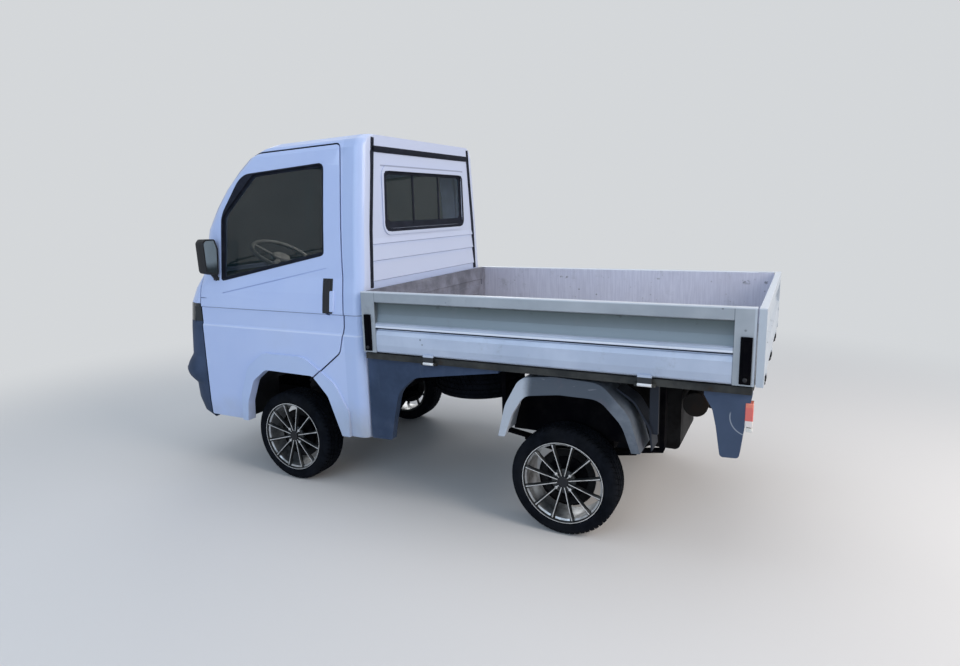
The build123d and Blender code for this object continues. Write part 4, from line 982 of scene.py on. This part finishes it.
# Bumper corners, which bulge out of the side
bulge = {"centre": (0.50, -1.40), "turns": (12, 78), "levels": (0.545, 0.735), "deep": 0.046, "across": 19, "tall": 13,
         "under": 0.002, "sunk": 0.0008}
tree = treeOf("front_bumper")
for sideName, side in sides.items():
    across, tall = bulge["across"], bulge["tall"]
    skin, under = [], []
    for step in range(across):
        share = step / (across - 1)
        turn = math.radians(bulge["turns"][0] + share * (bulge["turns"][1] - bulge["turns"][0]))
        away = Vector((side * math.cos(turn), -math.sin(turn), 0))
        for level in range(tall):
            height = bulge["levels"][0] + (bulge["levels"][1] - bulge["levels"][0]) * level / (tall - 1)
            start = Vector((side * bulge["centre"][0], bulge["centre"][1], height)) + away * 0.6
            hit = onto(tree, start, -away)
            swell = math.sin(math.pi * share) ** 0.7 * math.sin(math.pi * (level / (tall - 1)) ** 0.85) ** 1.3
            skin.append(hit + away * (bulge["deep"] * swell - bulge["sunk"]))
            under.append(hit - away * bulge["under"])
    faces = []
    for base in (0, len(skin)):
        for step in range(across - 1):
            for level in range(tall - 1):
                first = base + step * tall + level
                faces.append((first, first + 1, first + tall + 1, first + tall))
    edge = list(range(tall)) + [step * tall + tall - 1 for step in range(1, across)]
    edge += [(across - 1) * tall + level for level in range(tall - 2, -1, -1)]
    edge += [step * tall for step in range(across - 2, 0, -1)]
    for here, after in zip(edge, edge[1:] + edge[:1]):
        faces.append((here, after, after + len(skin), here + len(skin)))
    madePiece(named("bumperCorner", sideName), skin + under, faces, "slate_plastic", smooth=50)

# Radiator under the cab's front floor, with tanks at its ends
radiator = {"half": 0.290, "low": 0.335, "high": 0.562, "front": -1.365, "back": -1.325, "fins": 46, "crest": 0.004}
points = []
for number in range(radiator["fins"] + 1):
    x = -radiator["half"] + 2 * radiator["half"] * number / radiator["fins"]
    crest = radiator["crest"] if number % 2 else -radiator["crest"]
    for y, z in (("front", "low"), ("front", "high"), ("back", "high"), ("back", "low")):
        points.append(Vector((x, radiator[y] + crest, radiator[z])))
madePiece("radiatorCore", points, ringFaces(radiator["fins"] + 1, 4, caps=True), "chassis_paint")
for sideName, side in sides.items():
    softBox(named("radiatorTank", sideName), side, (0.285, radiator["front"] - 0.010, radiator["low"] - 0.006),
            (0.325, radiator["back"] + 0.010, radiator["high"]), "black_plastic", radius=0.010, segments=4)

# Dust shields behind the brakes
shield = ((-0.024, 0.018), (-0.024, 0.070), (-0.018, 0.076), (-0.018, 0.136), (-0.012, 0.146), (0.000, 0.148),
          (0.000, 0.145), (-0.009, 0.143), (-0.014, 0.134), (-0.014, 0.074), (-0.020, 0.068), (-0.020, 0.018))
points, faces = spun(shield, 48)
for place, stand in stands.items():
    madePiece(named("dustShield", place), [stand @ p for p in points], faces, "cast_metal",
              place.replace("front", "knuckle") if place.startswith("front") else "body")

# Dark panels that close the rear wheel arches on the inside: painted shade, a dark sheet where the arches are only in
# shade
archShade = {"inner": 0.4975, "outer": 0.5015, "low": 0.455, "start": -0.325, "step": 0.025, "count": 27, "wave": 0.0012}
tree = treeOf("rear_fenders")
for sideName, side in sides.items():
    vertices = []
    for number in range(archShade["count"]):
        y = rearAxle + archShade["start"] + archShade["step"] * number
        hit = onto(tree, (side * archShade["outer"], y, archShade["low"] + 0.02), (0, 0, 1))
        if hit:
            wave = archShade["wave"] * math.cos(math.pi * number)
            inner, outer = (side * (archShade[key] + wave) for key in ("inner", "outer"))
            for x, z in ((inner, archShade["low"]), (inner, hit.z + 0.001), (outer, hit.z + 0.001),
                         (outer, archShade["low"])):
                vertices.append(Vector((x, y, z)))
    madePiece(named("splashPanel", sideName), vertices, ringFaces(len(vertices) // 4, 4, caps=True), "chassis_paint")

# Tail lamp lenses, wrapped over the guards' sides
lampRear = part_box("tail_lamps")[1].y
for sideName, side in sides.items():
    softBox(named("tailLens", sideName), side, (0.676, lampRear - 0.030, 0.672), (0.7005, lampRear + 0.002, 0.7765),
            "red_lens", radius=0.004, segments=4)
    softBox(named("tailReflector", sideName), side, (0.680, lampRear - 0.024, 0.652),
            (0.7000, lampRear + 0.001, 0.669), "red_lens", material=grip, radius=0.003)
print("lower trim made")

# Steering wheel
steer = {
    "ring": 0.185, "rim": 0.0125, "count": 96, "turns": (0.0, math.pi, 1.5 * math.pi),
    "hub": ((-0.034, 0.0), (-0.034, 0.050), (-0.014, 0.058), (-0.004, 0.052), (0.000, 0.030), (0.001, 0.0)),
    # distance from the hub's middle, place along the column, half width
    "spoke": ((0.040, -0.020, 0.020), (0.100, -0.015, 0.014), (0.182, -0.004, 0.013)),
}
column = joints["steering_wheel_turn"]
tilt = Vector((1, 0, 0)).rotation_difference(Vector(column["axis"]).normalized())
stand = Matrix.Translation(column["pos_m"]) @ tilt.to_matrix().to_4x4()
section = [(steer["rim"] * math.sin(math.pi * n / 8), steer["ring"] + steer["rim"] * math.cos(math.pi * n / 8))
           for n in range(16)]
parts = [(*spun(section, steer["count"]), []), (*spun(steer["hub"], 48), [])]
for turn in steer["turns"]:
    points = []
    for reach, axial, half in steer["spoke"]:
        for a, b in ((axial - 0.006, -half), (axial + 0.004, -half * 0.8), (axial + 0.004, half * 0.8),
                     (axial - 0.006, half)):
            points.append(Matrix.Rotation(turn, 3, "X") @ Vector((a, reach, b)))
    parts.append((points, ringFaces(len(steer["spoke"]), 4, caps=True), []))
points, faces, marks = gathered(parts)
steering = madePiece("steeringWheel", [stand @ p for p in points], faces, "dash_plastic", "steering_wheel", [grip])
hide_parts("steering_wheel")
print("steering wheel made")

# Seats: padded cushions and backs
seatShape = {
    "centre": 0.322, "voxel": 0.011, "round": 0.016, "cap": 0.016, "frames": 20, "pressure": 4.0,
    "sewing": 0.006, "sewnWidth": 0.007, "inset": 0.72, "fill": 0.8,
    # distance behind the front axle and height of the blank's corners, then the sewn lines' places
    "cushion": {"node": "seat_cushions", "half": 0.228, "axis": 1, "lines": (-0.12, 0.0, 0.12),
                "rows": ((-0.062, 0.874), (-0.062, 0.926), (-0.030, 0.948), (0.380, 0.930), (0.388, 0.874))},
    "back": {"node": "seat_backs", "half": 0.220, "axis": 2, "lines": (-0.14, 0.0, 0.14),
             "rows": ((0.417, 0.894), (0.490, 0.894), (0.527, 1.398), (0.512, 1.440), (0.484, 1.428),
                      (0.462, 1.378))},
}


def applied(piece):
    # the piece's modifiers worked into its mesh
    shown = piece.evaluated_get(bpy.context.evaluated_depsgraph_get())
    mesh = bpy.data.meshes.new_from_object(shown)
    piece.modifiers.clear()
    piece.data = mesh
    mesh.shade_smooth()


def seatBlank(rows, half, name):
    # a plain block with rounded corners for the cloth to start from
    points = [Vector((side * half, behind(distance), height)) for side in (-1, 1) for distance, height in rows]
    piece = madePiece(name, points, ringFaces(2, len(rows), caps=True), "seat_fabric")
    rounded(piece, seatShape["round"], 4)
    remesh = piece.modifiers.new("remesh", "REMESH")
    remesh.mode = "VOXEL"
    remesh.voxel_size = seatShape["voxel"]
    applied(piece)
    return piece


def inflated(piece):
    # swells the blank as cloth under pressure, with each point held near its start
    start = [v.co.copy() for v in piece.data.vertices]
    cloth = piece.modifiers.new("cloth", "CLOTH")
    cloth.settings.use_pressure = True
    cloth.settings.uniform_pressure_force = seatShape["pressure"]
    cloth.settings.effector_weights.gravity = 0.0
    cloth.settings.quality = 4
    cloth.point_cache.frame_start = 1
    cloth.point_cache.frame_end = seatShape["frames"]
    for number in range(1, seatShape["frames"] + 1):
        scene.frame_set(number)
    applied(piece)
    for vertex, before in zip(piece.data.vertices, start):
        move = vertex.co - before
        if move.length > seatShape["cap"]:
            vertex.co = before + move.normalized() * seatShape["cap"]
    scene.frame_set(1)


def sewn(piece, lines, near):
    # presses sewn channels into the face that the sitter meets
    for vertex in piece.data.vertices:
        for line in lines:
            away = abs(line(vertex.co))
            press = seatShape["sewing"] * math.exp(-((away / seatShape["sewnWidth"]) ** 2))
            vertex.co += near(vertex) * press


for key in ("cushion", "back"):
    shape = seatShape[key]
    axis = shape["axis"]
    inset = shape["half"] * seatShape["inset"]
    blank = seatBlank(shape["rows"], shape["half"], f"{key}Left")
    inflated(blank)
    low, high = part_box(shape["node"])
    middle = (low + high) / 2

    def facing(vertex, key=key):
        return vertex.normal.z if key == "cushion" else -vertex.normal.y

    def pressed(vertex):
        if facing(vertex) < 0.3 or abs(vertex.co.x) > inset:
            return Vector()
        return -vertex.normal * facing(vertex)

    sewn(blank, [lambda p, s=s: p[axis] - (middle[axis] + s) for s in shape["lines"]], pressed)
    sewn(blank, [lambda p, s=s: p.x - s * inset for s in (-1, 1)], lambda v: -v.normal * max(0.0, facing(v)))
    other = bpy.data.objects.new(f"{key}Right", blank.data.copy())
    scene.collection.objects.link(other)
    for piece, side in ((blank, 1), (other, -1)):
        piece.data.transform(Matrix.Translation((side * seatShape["centre"], 0, 0)))
    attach(other, "body")
    for piece in (blank, other):
        smooth = piece.modifiers.new("smooth", "SUBSURF")
        smooth.levels = 1
        smooth.render_levels = 1
        applied(piece)
        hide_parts(shape["node"])
print("seats padded")

# Wipers on the windscreen
wiper = {"pivots": (0.40, -0.18), "foot": 1.280, "start": 0.06, "blade": 0.44, "low": 1.300, "rise": 0.030,
         "steps": 12}
for number, pivot in enumerate(wiper["pivots"]):
    blade = []
    for step in range(wiper["steps"] + 1):
        share = step / wiper["steps"]
        x, z = pivot - wiper["start"] - wiper["blade"] * share, wiper["low"] + wiper["rise"] * share
        hit = fromFront(screenTree, x, z)
        if hit:
            blade.append(hit + Vector((0, -0.007, 0.002)))
    tube(f"wiperBlade{number + 1}", blade, 0.0045, corners=6, materials=[rubber])
    foot = fromFront(screenTree, pivot, wiper["foot"])
    clip = blade[len(blade) // 2]
    arm = [foot + Vector((0, -0.008, -0.006)), foot + Vector((-0.02, -0.020, 0.004)),
           clip + Vector((0, -0.012, 0.004)), clip + Vector((-0.01, -0.006, 0.0))]
    tube(f"wiperArm{number + 1}", arm, 0.0050)
print("wipers made")


# Floor, light and camera

stage = {
    "backdrop": (0.66, 0.68, 0.70), "sky": (0.72, 0.84, 1.0), "skyStrength": 0.50,
    "floor": (0.66, 0.645, 0.63), "reach": 60, "fade": (2.8, 5.8),
    # name, place, aim, size, watts, colour
    "lamps": (
        ("rearKey", (1.0, 6.4, 4.2), (0.0, 0.6, 0.9), 4.0, 365, (1.0, 0.905, 0.825)),
        ("sideFill", (6.5, -1.0, 3.4), (0.0, 0.0, 0.8), 5.0, 138, (0.62, 0.79, 1.0)),
        ("topSoft", (0.0, 0.0, 7.0), (0.0, 0.0, 0.0), 6.0, 108, (0.94, 0.97, 1.0)),
        ("farFill", (-6.0, -4.5, 3.6), (0.0, 0.0, 0.8), 5.0, 160, (1.0, 0.98, 0.95)),
        ("cabLamp", (0.0, -0.72, 1.84), (0.0, -0.72, 0.0), 0.5, 5, (1.0, 1.0, 0.97)),
    ),
}


def stageFloor():
    mesh = bpy.data.meshes.new("floor")
    reach = stage["reach"]
    corners = [(-reach, -reach, 0), (reach, -reach, 0), (reach, reach, 0), (-reach, reach, 0)]
    mesh.from_pydata(corners, [], [(0, 1, 2, 3)])
    floor = bpy.data.objects.new("floor", mesh)
    scene.collection.objects.link(floor)
    finish = Finish("floorPale", Base_Color=stage["floor"], Roughness=0.9, Specular_IOR_Level=0.1)
    away = finish.node("ShaderNodeVectorMath", {"operation": "LENGTH"}, {0: finish.place}, "Value")
    glow = finish.node("ShaderNodeEmission", {}, {"Color": stage["backdrop"]})
    factor = finish.rise(away, *stage["fade"]) * finish.background()
    blend = finish.node("ShaderNodeMixShader", {}, {0: factor, 1: finish.base, 2: glow})
    finish.join(finish.output.inputs["Surface"], blend)
    mesh.materials.append(finish.material)


stageFloor()
scene.world = bpy.data.worlds.new("studio")
scene.world.use_nodes = True
around = Graph(scene.world.node_tree)
sky = around.node("ShaderNodeBackground", {}, {"Color": stage["sky"], "Strength": stage["skyStrength"]})
backdrop = around.node("ShaderNodeBackground", {}, {"Color": stage["backdrop"]})
blend = around.node("ShaderNodeMixShader", {}, {0: around.background(), 1: sky, 2: backdrop})
around.node("ShaderNodeOutputWorld", {}, {"Surface": blend})
for name, place, aim, size, watts, colour in stage["lamps"]:
    lamp = bpy.data.lights.new(name, "AREA")
    lamp.energy = watts
    lamp.size = size
    lamp.color = colour
    holder = bpy.data.objects.new(name, lamp)
    holder.location = place
    holder.visible_camera = False
    holder.rotation_euler = (Vector(aim) - Vector(place)).to_track_quat("-Z", "Y").to_euler()
    scene.collection.objects.link(holder)

view = {
    "place": (3.4748, 1.8691, 1.5987), "yaw": 26.781, "pitch": 10.983, "roll": -1.5095,
    "lens": 24.13, "sensor": 36.0,
}
yaw, pitch, roll = (math.radians(view[key]) for key in ("yaw", "pitch", "roll"))
ahead = Vector((-math.cos(yaw) * math.cos(pitch), -math.sin(yaw) * math.cos(pitch), -math.sin(pitch)))
level = ahead.cross(Vector((0, 0, 1))).normalized()
above = level.cross(ahead)
right = level * math.cos(roll) + above * math.sin(roll)
up = above * math.cos(roll) - level * math.sin(roll)
camera = bpy.data.objects.new("camera", bpy.data.cameras.new("camera"))
camera.data.lens = view["lens"]
camera.data.sensor_width = view["sensor"]
camera.data.sensor_fit = "HORIZONTAL"
camera.matrix_world = Matrix.Translation(view["place"]) @ Matrix((right, up, -ahead)).transposed().to_4x4()
scene.collection.objects.link(camera)
scene.camera = camera
scene.view_settings.view_transform = "Standard"
print("camera and light set")
